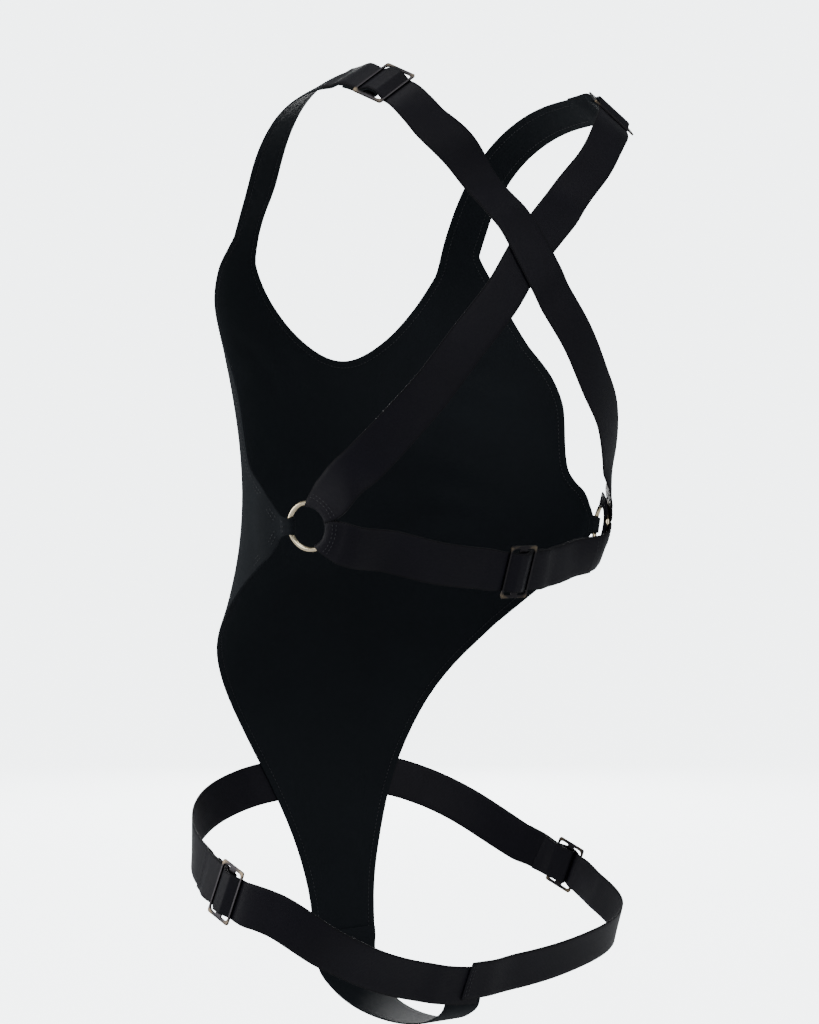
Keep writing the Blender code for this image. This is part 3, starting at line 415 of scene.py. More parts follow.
def hermite(knots, values, at):
    """A smooth curve through values at knots, read at other places."""
    slopes = np.gradient(values, knots, axis=0)
    at = np.clip(at, knots[0], knots[-1])
    i = np.clip(np.searchsorted(knots, at) - 1, 0, len(knots) - 2)
    span = knots[i + 1] - knots[i]
    t = (at - knots[i]) / span
    if values.ndim > 1:
        t, span = t[:, None], span[:, None]
    return ((2 * t**3 - 3 * t**2 + 1) * values[i] + (t**3 - 2 * t**2 + t) * span * slopes[i]
            + (3 * t**2 - 2 * t**3) * values[i + 1] + (t**3 - t**2) * span * slopes[i + 1])


def run_along(points):
    """The distance run at each of a line of points."""
    return np.concatenate([[0], np.cumsum(np.linalg.norm(np.diff(points, axis=0), axis=1))])


def smooth_line(points, step):
    """Points about a step apart on a smooth curve through a few given ones."""
    points = np.array(points, float)
    knots = run_along(points)
    count = max(2, int(math.ceil(knots[-1] / step)) + 1)
    return hermite(knots, points, np.linspace(0, knots[-1], count))


def figure_rows(z):
    table = np.array(FIGURE)
    return [hermite(table[:, 0], table[:, k], z) for k in range(1, 7)]


def figure(p):
    """Below zero inside the general figure, zero on it."""
    x, y, z = p[..., 0], p[..., 1], p[..., 2]
    width, widest, front, back, front_square, back_square = figure_rows(z)
    depth = np.where(y > widest, back - widest, widest - front)
    square = np.where(y > widest, back_square, front_square)
    section = (np.abs(x / width) ** square + np.abs((y - widest) / depth) ** square) ** (1 / square)
    cap = np.maximum(z - TORSO_TOP, 0) / TORSO_CAP
    torso = (np.hypot(section, cap) - 1) * BODY_SCALE
    middle = -SHOULDER_RISE - SHOULDER_SLOPE * (np.hypot(x, SHOULDER_ROUND) - SHOULDER_ACROSS)
    reach = np.where(y > SHOULDER_Y, SHOULDER_DEPTH, SHOULDER_REACH)
    rod = np.hypot((y - SHOULDER_Y) / reach, (z - middle) / SHOULDER_RISE)
    shoulder = (rod - 1) * BODY_SCALE * SHOULDER_SHARE
    mix = np.clip(0.5 + 0.5 * (shoulder - torso) / BODY_BLEND, 0, 1)
    return torso * mix + shoulder * (1 - mix) - BODY_BLEND * mix * (1 - mix)


def slope(p, reach=0.0005):
    sides = []
    for axis in range(3):
        offset = np.zeros(3)
        offset[axis] = reach
        sides.append((figure(p + offset) - figure(p - offset)) / (2 * reach))
    return np.stack(sides, axis=-1)


def across_middle(place):
    return np.array(place) * (-1, 1, 1)


def unit(v):
    return v / np.linalg.norm(v, axis=-1, keepdims=True)


def to_figure(p):
    """The points of the figure nearest to p, and its outward direction there."""
    p = np.array(p, float)
    for _ in range(NEAREST_STEPS):
        g = slope(p)
        p = p - g * (figure(p) / np.maximum((g * g).sum(-1), 1e-9))[..., None]
    return p, unit(slope(p))


def front_ray(bearing, height):
    """Points of the figure at a bearing from the middle of the front and a height."""
    bearing, height = np.broadcast_arrays(np.radians(bearing), height)
    widest = figure_rows(height)[1]
    near, far = (np.full(height.shape, reach) for reach in RAY_REACH)
    for _ in range(RAY_STEPS):
        middle = (near + far) / 2
        p = np.stack([middle * np.sin(bearing), widest - middle * np.cos(bearing), height], -1)
        inside = figure(p) < 0
        near, far = np.where(inside, middle, near), np.where(inside, far, middle)
    return p


print("figure: half width at the waist", round(float(figure_rows(np.array([-0.341]))[0][0]), 3))

# %% [markdown]
# ## Where the layers lie flat
#
# Webbing can't bend round a ring or a slider and round the body at once, so it lies in one plane
# there. Each flat spot eases the figure's surface into that plane and out again.

# %% Flat spots at the rings and the sliders
GAP = 0.0003
WEB = 0.0012
LAYER = WEB + GAP
FIRST = GAP + WEB / 2
SLIDER_REST = (0.0150, 0.0190)
SLIDER_FADE = 2.7
SLIDER_STRAIGHT = (0.014, 0.034)
RING_REST = (0.029, 0.062)


class FlatSpot:
    """A place where the layers lie in one plane, under a ring or a slider."""

    def __init__(self, place, facing=None, before=None, after=None):
        centre, normal = to_figure(np.array(place)[None])
        self.centre = centre[0]
        self.normal = normal[0] if facing is None else unit(np.array(facing))
        self.sides = None
        if before is not None:
            along = np.array(after) - np.array(before)
            along = unit(along - (along @ self.normal) * self.normal)
            self.sides = np.stack([along / SLIDER_REST[0], np.cross(self.normal, along) / SLIDER_REST[1]])

    def mirrored(self):
        other = object.__new__(FlatSpot)
        other.centre, other.normal = across_middle(self.centre), across_middle(self.normal)
        other.sides = None
        return other

    def share(self, p):
        """One inside the flat area, falling to zero around it."""
        offset = p - self.centre
        if self.sides is None:
            return 1 - smoothstep(*RING_REST, np.linalg.norm(offset, axis=-1))
        height = (offset @ self.normal) / SLIDER_REST[1]
        parts = np.abs(offset @ self.sides.T) ** 6
        return 1 - smoothstep(1, SLIDER_FADE, (parts.sum(-1) + height ** 6) ** (1 / 6))


def lay(p, spots):
    """Rests points on the figure, and in a flat spot's plane where one is near."""
    rest, normal = to_figure(p)
    for spot in spots:
        share = spot.share(p)[..., None]
        height = ((p - spot.centre) @ spot.normal)[..., None]
        rest = rest * (1 - share) + (p - height * spot.normal) * share
        normal = unit(normal * (1 - share) + spot.normal * share)
    return rest, normal


def slider_rest(points, place, before=None):
    """The flat spot of a slider, its bars across the line through the points beside it."""
    i = points.index(place)
    return FlatSpot(place, before=before or points[i - 1], after=points[i + 1])


print("a layer takes", round(LAYER * 1000, 2), "mm, the first lies", round(FIRST * 1000, 2), "mm off")

# %% [markdown]
# ## A strap's route
#
# A route is a smooth line over the figure through a few places. On it a strap is drawn with three
# numbers: s along the line, w across it and h away from the body.

# %% Measure along a route
STATION = 0.0040
FINE_STEP = 0.001


class Route:
    """A line over the figure, measured along its length; s runs along it, w across, h off it."""

    def __init__(self, points, spots, slider_spot):
        self.spots = [*spots, slider_spot]
        self.measure(lay(smooth_line(points, FINE_STEP), self.spots)[0])
        away = (self.s - self.station(slider_spot.centre))[:, None]
        straight = slider_spot.centre + unit(slider_spot.sides[0]) * away
        share = 1 - smoothstep(*SLIDER_STRAIGHT, np.abs(away))
        self.measure(self.line * (1 - share) + straight * share)
        self.slider_at = self.station(slider_spot.centre)

    def measure(self, line):
        self.line = line
        self.s = run_along(line)
        self.length = self.s[-1]
        self.along = unit(np.gradient(line, self.s, axis=0))

    def station(self, place):
        near = np.argmin(np.linalg.norm(self.line - np.array(place), axis=1))
        return self.s[near] + float((np.array(place) - self.line[near]) @ self.along[near])

    def at_spine(self):
        """The station where it crosses the middle of the back."""
        return self.s[np.argmin(np.abs(self.line[:, 0]) + (self.line[:, 1] < 0))]

    def middle(self, s):
        inside = np.clip(s, 0, self.length)
        centre = np.stack([np.interp(inside, self.s, self.line[:, k]) for k in range(3)], -1)
        along = unit(np.stack([np.interp(inside, self.s, self.along[:, k]) for k in range(3)], -1))
        return centre + along * (s - inside)[..., None], along

    def place(self, s, w, h):
        s, w, h = np.broadcast_arrays(s, w, h)
        centre, along = self.middle(s)
        normal = lay(centre, self.spots)[1]
        side = unit(np.cross(normal, along))
        rest, normal = lay(centre + side * w[..., None], self.spots)
        return rest + normal * h[..., None]


def arc(centre_s, centre_h, radius, start, end, steps):
    """Points on a circle in the s-h plane, angles in degrees."""
    turn = np.radians(np.linspace(start, end, steps + 1))
    return list(zip(centre_s + radius * np.cos(turn), centre_h + radius * np.sin(turn)))


def stretch(start, end, height, spacing=STATION):
    """Stations from start to end, with the height that a function gives each.

    Those between fall on whole steps from zero, so that layers that lie together share them.
    """
    low, high = min(start, end), max(start, end)
    steps = np.arange(math.ceil(low / spacing), math.floor(high / spacing) + 1) * spacing
    inner = [s for s in steps if min(s - low, high - s) > spacing * 0.25]
    if end < start:
        inner.reverse()
    return [(s, float(height(s))) for s in [start, *inner, end]]


print("stations every", round(STATION * 1000, 1), "mm")

# %% [markdown]
# ## How webbing turns round a ring and through a slider
#
# At a ring the end goes round the wire and is sewn back under itself. At a slider one strap is
# sewn round the middle bar, and the other is threaded under one side bar, over the middle and under
# the other, which is what holds the length. Seen from the edge these are lines of short arcs.

# %% Bend round a ring
BEND_STEP = 12.0
RING_WIRE = 0.00175
RING_MIDDLE = 0.01685
RING_ARC = (0.0195, 0.030)
RING_RUN = 0.026
RING_FACING = 66.0
RING_FALL = -8.0
RING_HEIGHT = FIRST + WEB / 2 + GAP + RING_WIRE
RETURN_LENGTH = 0.024
RETURN_FADE = (RETURN_LENGTH + 0.004, RETURN_LENGTH + 0.012)
RING_OUT = 0.042
FOLD_BEND = RING_WIRE + GAP + WEB / 2
RING_SHOULDER = RING_MIDDLE + RING_WIRE + GAP


def bend(centre_s, centre_h, radius, start, end):
    """An arc in short steps, angles in degrees."""
    return arc(centre_s, centre_h, radius, start, end, max(2, round(abs(end - start) / BEND_STEP)))


def on_figure(s):
    """Height of a layer that lies on the figure."""
    return FIRST


def ring_lift(d):
    """Height of the outer layer at distance d from a ring's centre."""
    over_return = LAYER * (1 - smoothstep(*RETURN_FADE, d))
    rise = RING_HEIGHT + FOLD_BEND - FIRST - LAYER
    return FIRST + over_return + rise * (1 - smoothstep(RING_SHOULDER - GAP, RETURN_FADE[0], d))


def ring_fold(centre=RING_MIDDLE):
    """The end of a strap at a ring: from its hidden end, round the wire, and out over it."""
    hidden = stretch(RETURN_LENGTH, centre, on_figure)
    out = stretch(centre, RING_OUT, ring_lift, STATION / 2)
    return hidden[:-1] + bend(centre, RING_HEIGHT, FOLD_BEND, -90, -270) + out[1:]


print("points in a fold at a ring:", len(ring_fold()))

# %% Bend through a slider
SLIDER_HALF = 0.0206
SLIDER_CORNER = 0.0050
SLIDER_WIRE = 0.0008
SLIDER_MIDDLE = 0.0007
SLIDER_FLAT = 0.0024
SLIDER_PITCH = 0.0117
SLIDER_EASE = 0.0008
APPROACH = 0.030
SHOULDER_TAIL = 0.048
LEG_TAIL = 0.042
BACK_TAIL_STOP = 0.046
BACK_TAIL_STEP = 0.006
TAIL_FADE = (RETURN_LENGTH + 0.003, RETURN_LENGTH + 0.012)
SLIDER_HEIGHT = FIRST + 2 * LAYER + WEB / 2 + GAP + SLIDER_WIRE
OUTER_BAR_BEND = SLIDER_WIRE + GAP + WEB / 2
MIDDLE_BAR_BEND = SLIDER_MIDDLE + 2 * GAP + WEB / 2
CROSS_ANGLE = math.degrees(math.asin((OUTER_BAR_BEND + MIDDLE_BAR_BEND + LAYER)
                                     / (SLIDER_PITCH - SLIDER_FLAT)))
UNDER_ANGLE = math.degrees(math.asin((OUTER_BAR_BEND + 2 * LAYER - MIDDLE_BAR_BEND)
                                     / (SLIDER_PITCH + SLIDER_FLAT)))


def tail_height(x):
    return FIRST + 2 * LAYER - LAYER * smoothstep(*TAIL_FADE, x)


def fixed_height(x):
    """Height of the sewn strap past its slider, one layer under the tail."""
    return float(tail_height(x)) - LAYER


def threaded(tail):
    """The strap that is threaded: under one side bar, over the middle, under the other."""
    outer, top = OUTER_BAR_BEND, MIDDLE_BAR_BEND + LAYER
    level = SLIDER_HEIGHT - outer

    def rising(x):
        return FIRST + (level - FIRST) * smoothstep(-APPROACH, -SLIDER_PITCH, x)

    path = stretch(-APPROACH, -SLIDER_PITCH, rising)[:-1]
    path += bend(-SLIDER_PITCH, SLIDER_HEIGHT, outer, -90, -90 + CROSS_ANGLE)
    path += bend(-SLIDER_FLAT, SLIDER_HEIGHT, top, 90 + CROSS_ANGLE, 90)
    path += bend(SLIDER_FLAT, SLIDER_HEIGHT, top, 90, 90 - CROSS_ANGLE)
    path += bend(SLIDER_PITCH, SLIDER_HEIGHT, outer, -90 - CROSS_ANGLE, -90)
    return path + stretch(SLIDER_PITCH, tail, tail_height)[1:]


def fixed(reach):
    """The strap that is sewn round the middle bar, from its hidden end to a place on the route."""
    low = SLIDER_HEIGHT - FIRST
    path = stretch(RETURN_LENGTH, SLIDER_PITCH, on_figure)[:-1]
    path += bend(SLIDER_PITCH, SLIDER_HEIGHT, low, -90, -90 - UNDER_ANGLE)
    path += bend(-SLIDER_FLAT, SLIDER_HEIGHT, MIDDLE_BAR_BEND, -90 - UNDER_ANGLE, -270)
    path += bend(SLIDER_FLAT, SLIDER_HEIGHT, MIDDLE_BAR_BEND, -270, -270 - CROSS_ANGLE)
    path += bend(SLIDER_PITCH, SLIDER_HEIGHT, OUTER_BAR_BEND + LAYER, -90 - CROSS_ANGLE, -90)
    return path + stretch(SLIDER_PITCH, reach, fixed_height)[1:]


print("webbing climbs through a slider at", round(CROSS_ANGLE), "and", round(UNDER_ANGLE), "degrees")

# %% Widths near a ring and a slider
SEAM_CUT = -0.00005


def past_slider(slider_at):
    """Half width along a strap, drawn in a little to pass the slider's rounded corners."""
    def half(s):
        return WEB_HALF - SLIDER_EASE * (1 - smoothstep(SLIDER_PITCH, RETURN_LENGTH, np.abs(s - slider_at)))
    return half


def ring_facing():
    turn, fall = math.radians(RING_FACING), math.radians(RING_FALL)
    return (math.sin(turn) * math.cos(fall), math.cos(turn) * math.cos(fall), math.sin(fall))


def radial_points(ring, towards):
    """The ring's centre and a straight run from it, in its plane, towards a point."""
    away = np.array(towards) - ring.centre
    away = unit(away - (away @ ring.normal) * ring.normal)
    return away, [ring.centre + away * d for d in np.linspace(0, RING_RUN, 5)]


def mitre(half_angle):
    """Half width on the side where two straps meet in a V at a ring."""
    def half(d):
        return np.minimum(d * math.tan(half_angle) - SEAM_CUT, WEB_HALF)
    return half


def round_ring(d, w):
    """Moves a strap's rows near a ring into arcs about its centre, so that they follow the wire."""
    near = 1 - smoothstep(*RING_ARC, d)
    scale = 1 - near * (1 - d / np.hypot(d, w))
    return d * scale, w * scale


def corner_mitre(ring, back_point, cross_point):
    """Half width of both straps on the sides where they meet in a V at a ring."""
    back_away = radial_points(ring, back_point)[0]
    cross_away = radial_points(ring, cross_point)[0]
    return mitre(math.acos(float(back_away @ cross_away)) / 2)


print("ring faces", [round(c, 3) for c in ring_facing()])

# %% [markdown]
# ## Laying a strip
#
# Webbing is cut flat, so each strap starts as a flat grid with its own flat map in metres. Its
# points are then laid on the route. Solidify gives the 1.2 mm of the webbing, and a small bevel
# takes the hard corner off its edges.

# %% Lay a strip along a route
COLUMNS = 8
EDGE_BEVEL = 0.00026


def soften(piece, thickness):
    """Gives a laid sheet its thickness and breaks its edges."""
    wall = piece.modifiers.new("wall", "SOLIDIFY")
    wall.thickness = thickness
    wall.offset = 0.0
    edges = piece.modifiers.new("edges", "BEVEL")
    edges.width = EDGE_BEVEL
    edges.segments = 2
    edges.limit_method = "ANGLE"
    edges.angle_limit = math.radians(60)


def laid_grid(rows, across):
    """A flat grid moved onto rows of points, with a flat map in metres along and across."""
    count, columns = rows.shape[0] - 1, rows.shape[1] - 1
    middle = rows[:, columns // 2]
    run = run_along(middle)
    bm = bmesh.new()
    bmesh.ops.create_grid(bm, x_segments=count, y_segments=columns, size=0.5)
    flat = bm.loops.layers.uv.new("flat")
    spots = {}
    for vert in bm.verts:
        i, j = round((vert.co.x + 0.5) * count), round((vert.co.y + 0.5) * columns)
        spots[vert] = (run[i], across[i, j])
        vert.co = rows[i, j]
    for face in bm.faces:
        face.smooth = True
        for loop in face.loops:
            loop[flat].uv = spots[loop.vert]
    return bm, float(run[-1])


def add_piece(name, bm, material, slot, *nodes):
    """Makes a mesh a piece of the model, in place of the nodes that it stands for."""
    mesh = bpy.data.meshes.new(name)
    bm.to_mesh(mesh)
    bm.free()
    piece = add_object(name, mesh)
    mesh.materials.append(material)
    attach(piece, "root")
    if nodes:
        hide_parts(*nodes)
    return piece


def lay_strap(name, node, route, profile, left, right, flip=False, moved=None):
    """A strap of webbing from its profile of (s, h) and its half widths.

    Where its rows aren't straight across, a function moves their (s, w).
    """
    s, h = np.array(profile).T
    share = np.linspace(0, 1, COLUMNS + 1)
    w = -right(s)[:, None] + (left(s) + right(s))[:, None] * share
    along = np.broadcast_to(s[:, None], w.shape)
    if moved is not None:
        along, w = moved(along, w)
    rows = route.place(along, w, h[:, None])
    if flip:
        rows = rows * (-1, 1, 1)
    across = np.broadcast_to((share - 0.5) * 2 * WEB_HALF, w.shape)
    bm, length = laid_grid(rows, across)
    piece = add_piece(name, bm, satin_elastic, "elastic_webbing", node)
    soften(piece, WEB)
    print(name, "rows", len(rows), "cut length", round(length, 3))


# %% [markdown]
# ## The two straps that cross
#
# Each runs from the ring on one side, over the middle of the back and up to the slider behind the
# other shoulder. The one that starts at the right ring lies on top, so it is lifted by one
# thickness of webbing where they cross.

# %% Rings, sliders and the crossing straps
SHOULDER_SLIDER = (0.1015, 0.1150, -0.0152)
BELOW_SLIDER = (0.0800, 0.1355, -0.0395)
RING_CENTRE = (0.1330, 0.0690, -0.3220)
OVER_SHOULDER = (
    SHOULDER_SLIDER,
    (0.1100, 0.0900, -0.0050),
    (0.1130, 0.0660, -0.0020),
    (0.1120, 0.0400, -0.0040),
    (0.1100, 0.0140, -0.0110),
    (0.1060, -0.0150, -0.0280),
    (0.1010, -0.0400, -0.0580),
    (0.0980, -0.0600, -0.0970),
    (0.0980, -0.0700, -0.1250),
)
CROSS_FROM_LEFT = (
    (-0.1100, 0.1080, -0.2590),
    (-0.0990, 0.1200, -0.2400),
    (-0.0740, 0.1360, -0.2140),
    (-0.0480, 0.1480, -0.1835),
    (-0.0230, 0.1520, -0.1560),
    (0.0000, 0.1530, -0.1240),
    (0.0150, 0.1490, -0.0990),
    (0.0310, 0.1420, -0.0770),
    (0.0550, 0.1410, -0.0560),
    BELOW_SLIDER,
)
CROSS_FROM_RIGHT = (
    (-0.1151, 0.0992, -0.2838),
    (-0.0955, 0.1180, -0.2557),
    (-0.0725, 0.1342, -0.2247),
    (-0.0508, 0.1463, -0.1921),
    (-0.0242, 0.1521, -0.1587),
    (0.0000, 0.1530, -0.1240),
    (0.0160, 0.1490, -0.1085),
    (0.0450, 0.1410, -0.0830),
    (0.0630, 0.1400, -0.0620),
    BELOW_SLIDER,
)
BACK_SLIDER = (-0.0220, 0.1055, -0.3545)
BACK_ROUTE = (
    (0.0860, 0.0980, -0.3400),
    (0.0435, 0.1060, -0.3500),
    (0.0000, 0.1070, -0.3540),
    BACK_SLIDER,
    (-0.0610, 0.1015, -0.3525),
    (-0.0950, 0.0920, -0.3440),
)
ring_spot = FlatSpot(RING_CENTRE, ring_facing())
rings = {"left": ring_spot, "right": ring_spot.mirrored()}
shoulder_spot = slider_rest(OVER_SHOULDER, SHOULDER_SLIDER, BELOW_SLIDER)
mitres = {"left": corner_mitre(rings["left"], BACK_ROUTE[0], across_middle(CROSS_FROM_RIGHT[0])),
          "right": corner_mitre(rings["right"], BACK_ROUTE[-1], CROSS_FROM_LEFT[0])}
CROSSING_RISE = WEB + 0.00055
CROSSING_FADE = (0.024, 0.042)
routes = {}


def lay_cross_strap(side, points, far):
    flip = side == "right"
    start = radial_points(rings["right"], points[0])[1]
    route = Route(start + list(points) + list(OVER_SHOULDER), [rings["right"]], shoulder_spot)
    routes[f"cross_{side}"] = route
    crossing = route.at_spine()
    rise = 0.0 if flip else CROSSING_RISE
    end = [(route.slider_at + x, h) for x, h in threaded(SHOULDER_TAIL)]
    fold = ring_fold()
    between = stretch(fold[-1][0], end[0][0], on_figure)[1:-1]
    profile = [(s, h + rise * (1 - smoothstep(*CROSSING_FADE, abs(s - crossing))))
               for s, h in fold + between + end]
    half = past_slider(route.slider_at)
    lay_strap(f"webbing_cross_{side}", f"cross_strap_{side}", route, profile,
              lambda s: np.minimum(mitres[far](s), half(s)), half,
              flip, round_ring)


lay_cross_strap("left", CROSS_FROM_LEFT, "right")
lay_cross_strap("right", CROSS_FROM_RIGHT, "left")

# %% [markdown]
# ## The strap from ring to ring
#
# It crosses the small of the back in two parts: the long one comes from the left ring and is
# threaded through the slider, the short one is sewn round the slider's middle bar.

# %% Back strap
back_spot = slider_rest(BACK_ROUTE, BACK_SLIDER)
back_route = Route(radial_points(rings["left"], BACK_ROUTE[0])[1] + list(BACK_ROUTE)
                   + radial_points(rings["right"], BACK_ROUTE[-1])[1][::-1],
                   list(rings.values()), back_spot)
back_at = back_route.slider_at
back_total = back_route.length
back_half = past_slider(back_at)
back_tail = BACK_TAIL_STEP * math.floor((back_total - back_at - BACK_TAIL_STOP) / BACK_TAIL_STEP)
fold = ring_fold()
through = [(back_at + x, h) for x, h in threaded(back_tail)]
between = stretch(fold[-1][0], through[0][0], on_figure)[1:-1]
lay_strap("webbing_back_left", "back_strap_left", back_route, fold + between + through,
          lambda s: np.minimum(mitres["left"](s), back_half(s)), back_half,
          moved=round_ring)


def round_far_ring(s, w):
    """As for the near ring, from the other end of the route."""
    d, across = round_ring(back_total - s, w)
    return back_total - d, across


from_ring = [(back_total - d, h) for d, h in ring_fold()]
sewn = [(back_at + x, h) for x, h in fixed(from_ring[-1][0] - back_at)]
lay_strap("webbing_back_right", "back_strap_right", back_route, sewn[:-1] + from_ring[::-1],
          lambda s: np.minimum(mitres["right"](back_total - s), back_half(s)), back_half,
          moved=round_far_ring)

# %% [markdown]
# ## The straps round the hips
#
# Each hip strap starts at the join below the seat, runs up over the hip to its slider, and a second
# part goes on from the slider to the front, where its end lies on the cloth. At the join the right
# one lies over the left, with its end cut a little aslant.

# %% Hip straps
LEG_SLIDER_LEFT = (0.1755, 0.0310, -0.5840)
LEG_FROM_LEFT = (
    (-0.0300, 0.0750, -0.6650),
    (0.0000, 0.0750, -0.6640),
    (0.0371, 0.0786, -0.6580),
    (0.0802, 0.0830, -0.6455),
    (0.1236, 0.0838, -0.6245),
    (0.1569, 0.0700, -0.5992),
    LEG_SLIDER_LEFT,
    (0.1756, -0.0222, -0.5664),
    (0.1640, -0.0560, -0.5540),
    (0.1400, -0.0830, -0.5430),
    (0.1050, -0.1000, -0.5340),
    (0.0750, -0.1060, -0.5290),
    (0.0460, -0.1100, -0.5260),
)
LEG_SLIDER_RIGHT = (0.1730, -0.0290, -0.6060)
LEG_FROM_RIGHT = (
    (-0.0300, 0.0750, -0.6590),
    (0.0000, 0.0750, -0.6590),
    (0.0386, 0.0764, -0.6595),
    (0.0781, 0.0780, -0.6572),
    (0.1219, 0.0750, -0.6508),
    (0.1590, 0.0550, -0.6400),
    (0.1765, 0.0150, -0.6240),
    LEG_SLIDER_RIGHT,
    (0.1600, -0.0620, -0.5880),
    (0.1400, -0.0820, -0.5720),
    (0.1050, -0.0980, -0.5500),
    (0.0750, -0.1050, -0.5360),
    (0.0460, -0.1100, -0.5270),
)
JOIN_UNDERLAP = 0.012
JOIN_OVERLAP = 0.0025
JOIN_SLANT = 0.10
SLANT_FADE = 0.030
OVER_STRIP = (0.024, 0.046)
OVER_LEFT = (0.016, 0.034)
ON_PANEL = (0.052, 0.034)


def aslant(start, flip):
    """Moves a hip strap's rows so that the right one's end is cut a little aslant."""
    def moved(s, w):
        share = 1 - smoothstep(start, start + SLANT_FADE, s)
        return s - JOIN_SLANT * share * w * flip, w
    return moved


def lay_hip_straps(side, points, spot):
    route = Route(points, [], spot)
    slider_at, end = route.slider_at, route.length
    middle = route.at_spine()
    half = past_slider(slider_at)
    flip = side == "right"
    start = middle - (JOIN_OVERLAP if flip else JOIN_UNDERLAP)

    def height(s):
        over_strip, over_left = (1 - smoothstep(*fade, s - middle) for fade in (OVER_STRIP, OVER_LEFT))
        return FIRST + LAYER * (over_strip + over_left * flip)

    last = [(slider_at + x, h) for x, h in threaded(LEG_TAIL)]
    profile = stretch(start, last[0][0], height)[:-1] + last
    routes[f"leg_{side}"] = route
    lay_strap(f"webbing_leg_{side}", f"leg_strap_{side}", route, profile, half, half,
              flip, aslant(start, flip))
    rise_from, rise_to = (end - fade for fade in ON_PANEL)
    profile = [(slider_at + x, h + LAYER * float(smoothstep(rise_from, rise_to, slider_at + x)))
               for x, h in fixed(end - slider_at)]
    lay_strap(f"webbing_hip_{side}", f"leg_front_{side}", route, profile, half, half,
              flip)


leg_spots = {"left": slider_rest(LEG_FROM_LEFT, LEG_SLIDER_LEFT),
             "right": slider_rest(LEG_FROM_RIGHT, LEG_SLIDER_RIGHT)}
lay_hip_straps("left", LEG_FROM_LEFT, leg_spots["left"])
lay_hip_straps("right", LEG_FROM_RIGHT, leg_spots["right"])

# %% [markdown]
# ## The cloth front
#
# One piece of knit makes the front and both shoulder straps. Half of it is laid as a grid, from the
# slider over the shoulder and down to the lower edge, and mirrored. At the side its tip is extruded
# into the tab that folds round the ring. The main creases are pressed in as soft troughs with a low
# ridge beside them, and run from where the cloth is pulled: ring tabs, arms and legs.

# %% The cut of the front
CHEST = (
    (37.0, -0.118, 54.5, -0.123),
    (30.5, -0.143, 59.0, -0.148),
    (21.5, -0.167, 65.5, -0.175),
    (10.5, -0.184, 74.0, -0.200),
    (0.0, -0.190, 80.0, -0.226),
    (0.0, -0.224, 82.5, -0.254),
    (0.0, -0.262, 85.5, -0.279),
    (0.0, -0.290, 93.0, -0.2955),
)
NECK_ROWS = 5
NECK_LOW = -0.190
TIP_HEIGHTS = (-0.312, -0.326, -0.340)
TIP_REACH = 0.0245
TIP_HALF = 0.0075
TAB_HALF = 0.006
TAB_FOLD = 0.0122
TAB_FLARE = 0.017
#   middle_height, leg_bearing, leg_height
BELLY = (
    (-0.362, 97.5, -0.3420),
    (-0.386, 89.5, -0.3560),
    (-0.412, 80.5, -0.3720),
    (-0.440, 71.0, -0.3895),
    (-0.468, 61.0, -0.4100),
    (-0.497, 50.0, -0.4390),
    (-0.527, 39.0, -0.4780),
    (-0.557, 29.0, -0.5250),
    (-0.588, 22.5, -0.5700),
    (-0.620, 18.5, -0.6130),
    (-0.655, 18.0, -0.6550),
)
TIP_FINE = 4
FRONT_COLUMNS = 32
CHEST_END = -0.098
TAB_STEP = 0.0025


def front_table():
    """Bearing and height of both ends of each row, from the chest down, closely spaced."""
    chest, belly = np.array(CHEST), np.array(BELLY)
    spots = np.arange(0, len(chest) - 0.75, 0.5)
    rows = np.arange(len(chest), dtype=float)
    upper = np.stack([hermite(rows, chest[:, k], spots) for k in range(4)], axis=1)
    on_neck = spots <= NECK_ROWS - 1
    for k in range(2):
        upper[on_neck, k] = hermite(rows[:NECK_ROWS], chest[:NECK_ROWS, k], spots[on_neck])
    spots = np.concatenate([np.arange(0, 4, 0.5), np.arange(4, len(belly))])
    rows = np.arange(len(belly), dtype=float)
    lower = np.stack([0 * spots] + [hermite(rows, belly[:, k], spots) for k in range(3)], axis=1)
    tip = []
    for level, share in zip(TIP_HEIGHTS, (1, 0, -1)):
        corner = ring_spot.centre + tab_out * TIP_REACH + tab_up * TIP_HALF * share
        widest = figure_rows(corner[2:])[1][0]
        tip.append((0.0, level, math.degrees(math.atan2(corner[0], widest - corner[1])), corner[2]))
    table = np.vstack([upper, np.array(tip), lower])
    fine = np.arange(0, len(table) - 1 + 0.01, 1 / TIP_FINE)
    smooth = np.stack([hermite(np.arange(len(table), dtype=float), table[:, k], fine) for k in range(4)], 1)
    straight = np.stack([np.interp(fine, np.arange(len(table)), table[:, k]) for k in range(4)], 1)
    near_tip = np.abs(fine - len(upper) - 1) <= 2.001
    smooth[near_tip] = straight[near_tip]
    last = 2 * (NECK_ROWS - 1)
    neck = fine <= last
    for k in range(2):
        smooth[neck, k] = hermite(np.arange(last + 1, dtype=float), table[:last + 1, k], fine[neck])
    low = neck & (fine >= last - 2)
    smooth[low, 0] = straight[low, 0]
    smooth[low, 1] = NECK_LOW + (table[last - 2, 1] - NECK_LOW) * (straight[low, 0] / table[last - 2, 0]) ** 2
    smooth[:, 0] = np.where(straight[:, 0] < 1e-6, 0.0, np.maximum(smooth[:, 0], 0))
    return smooth, len(upper) * TIP_FINE


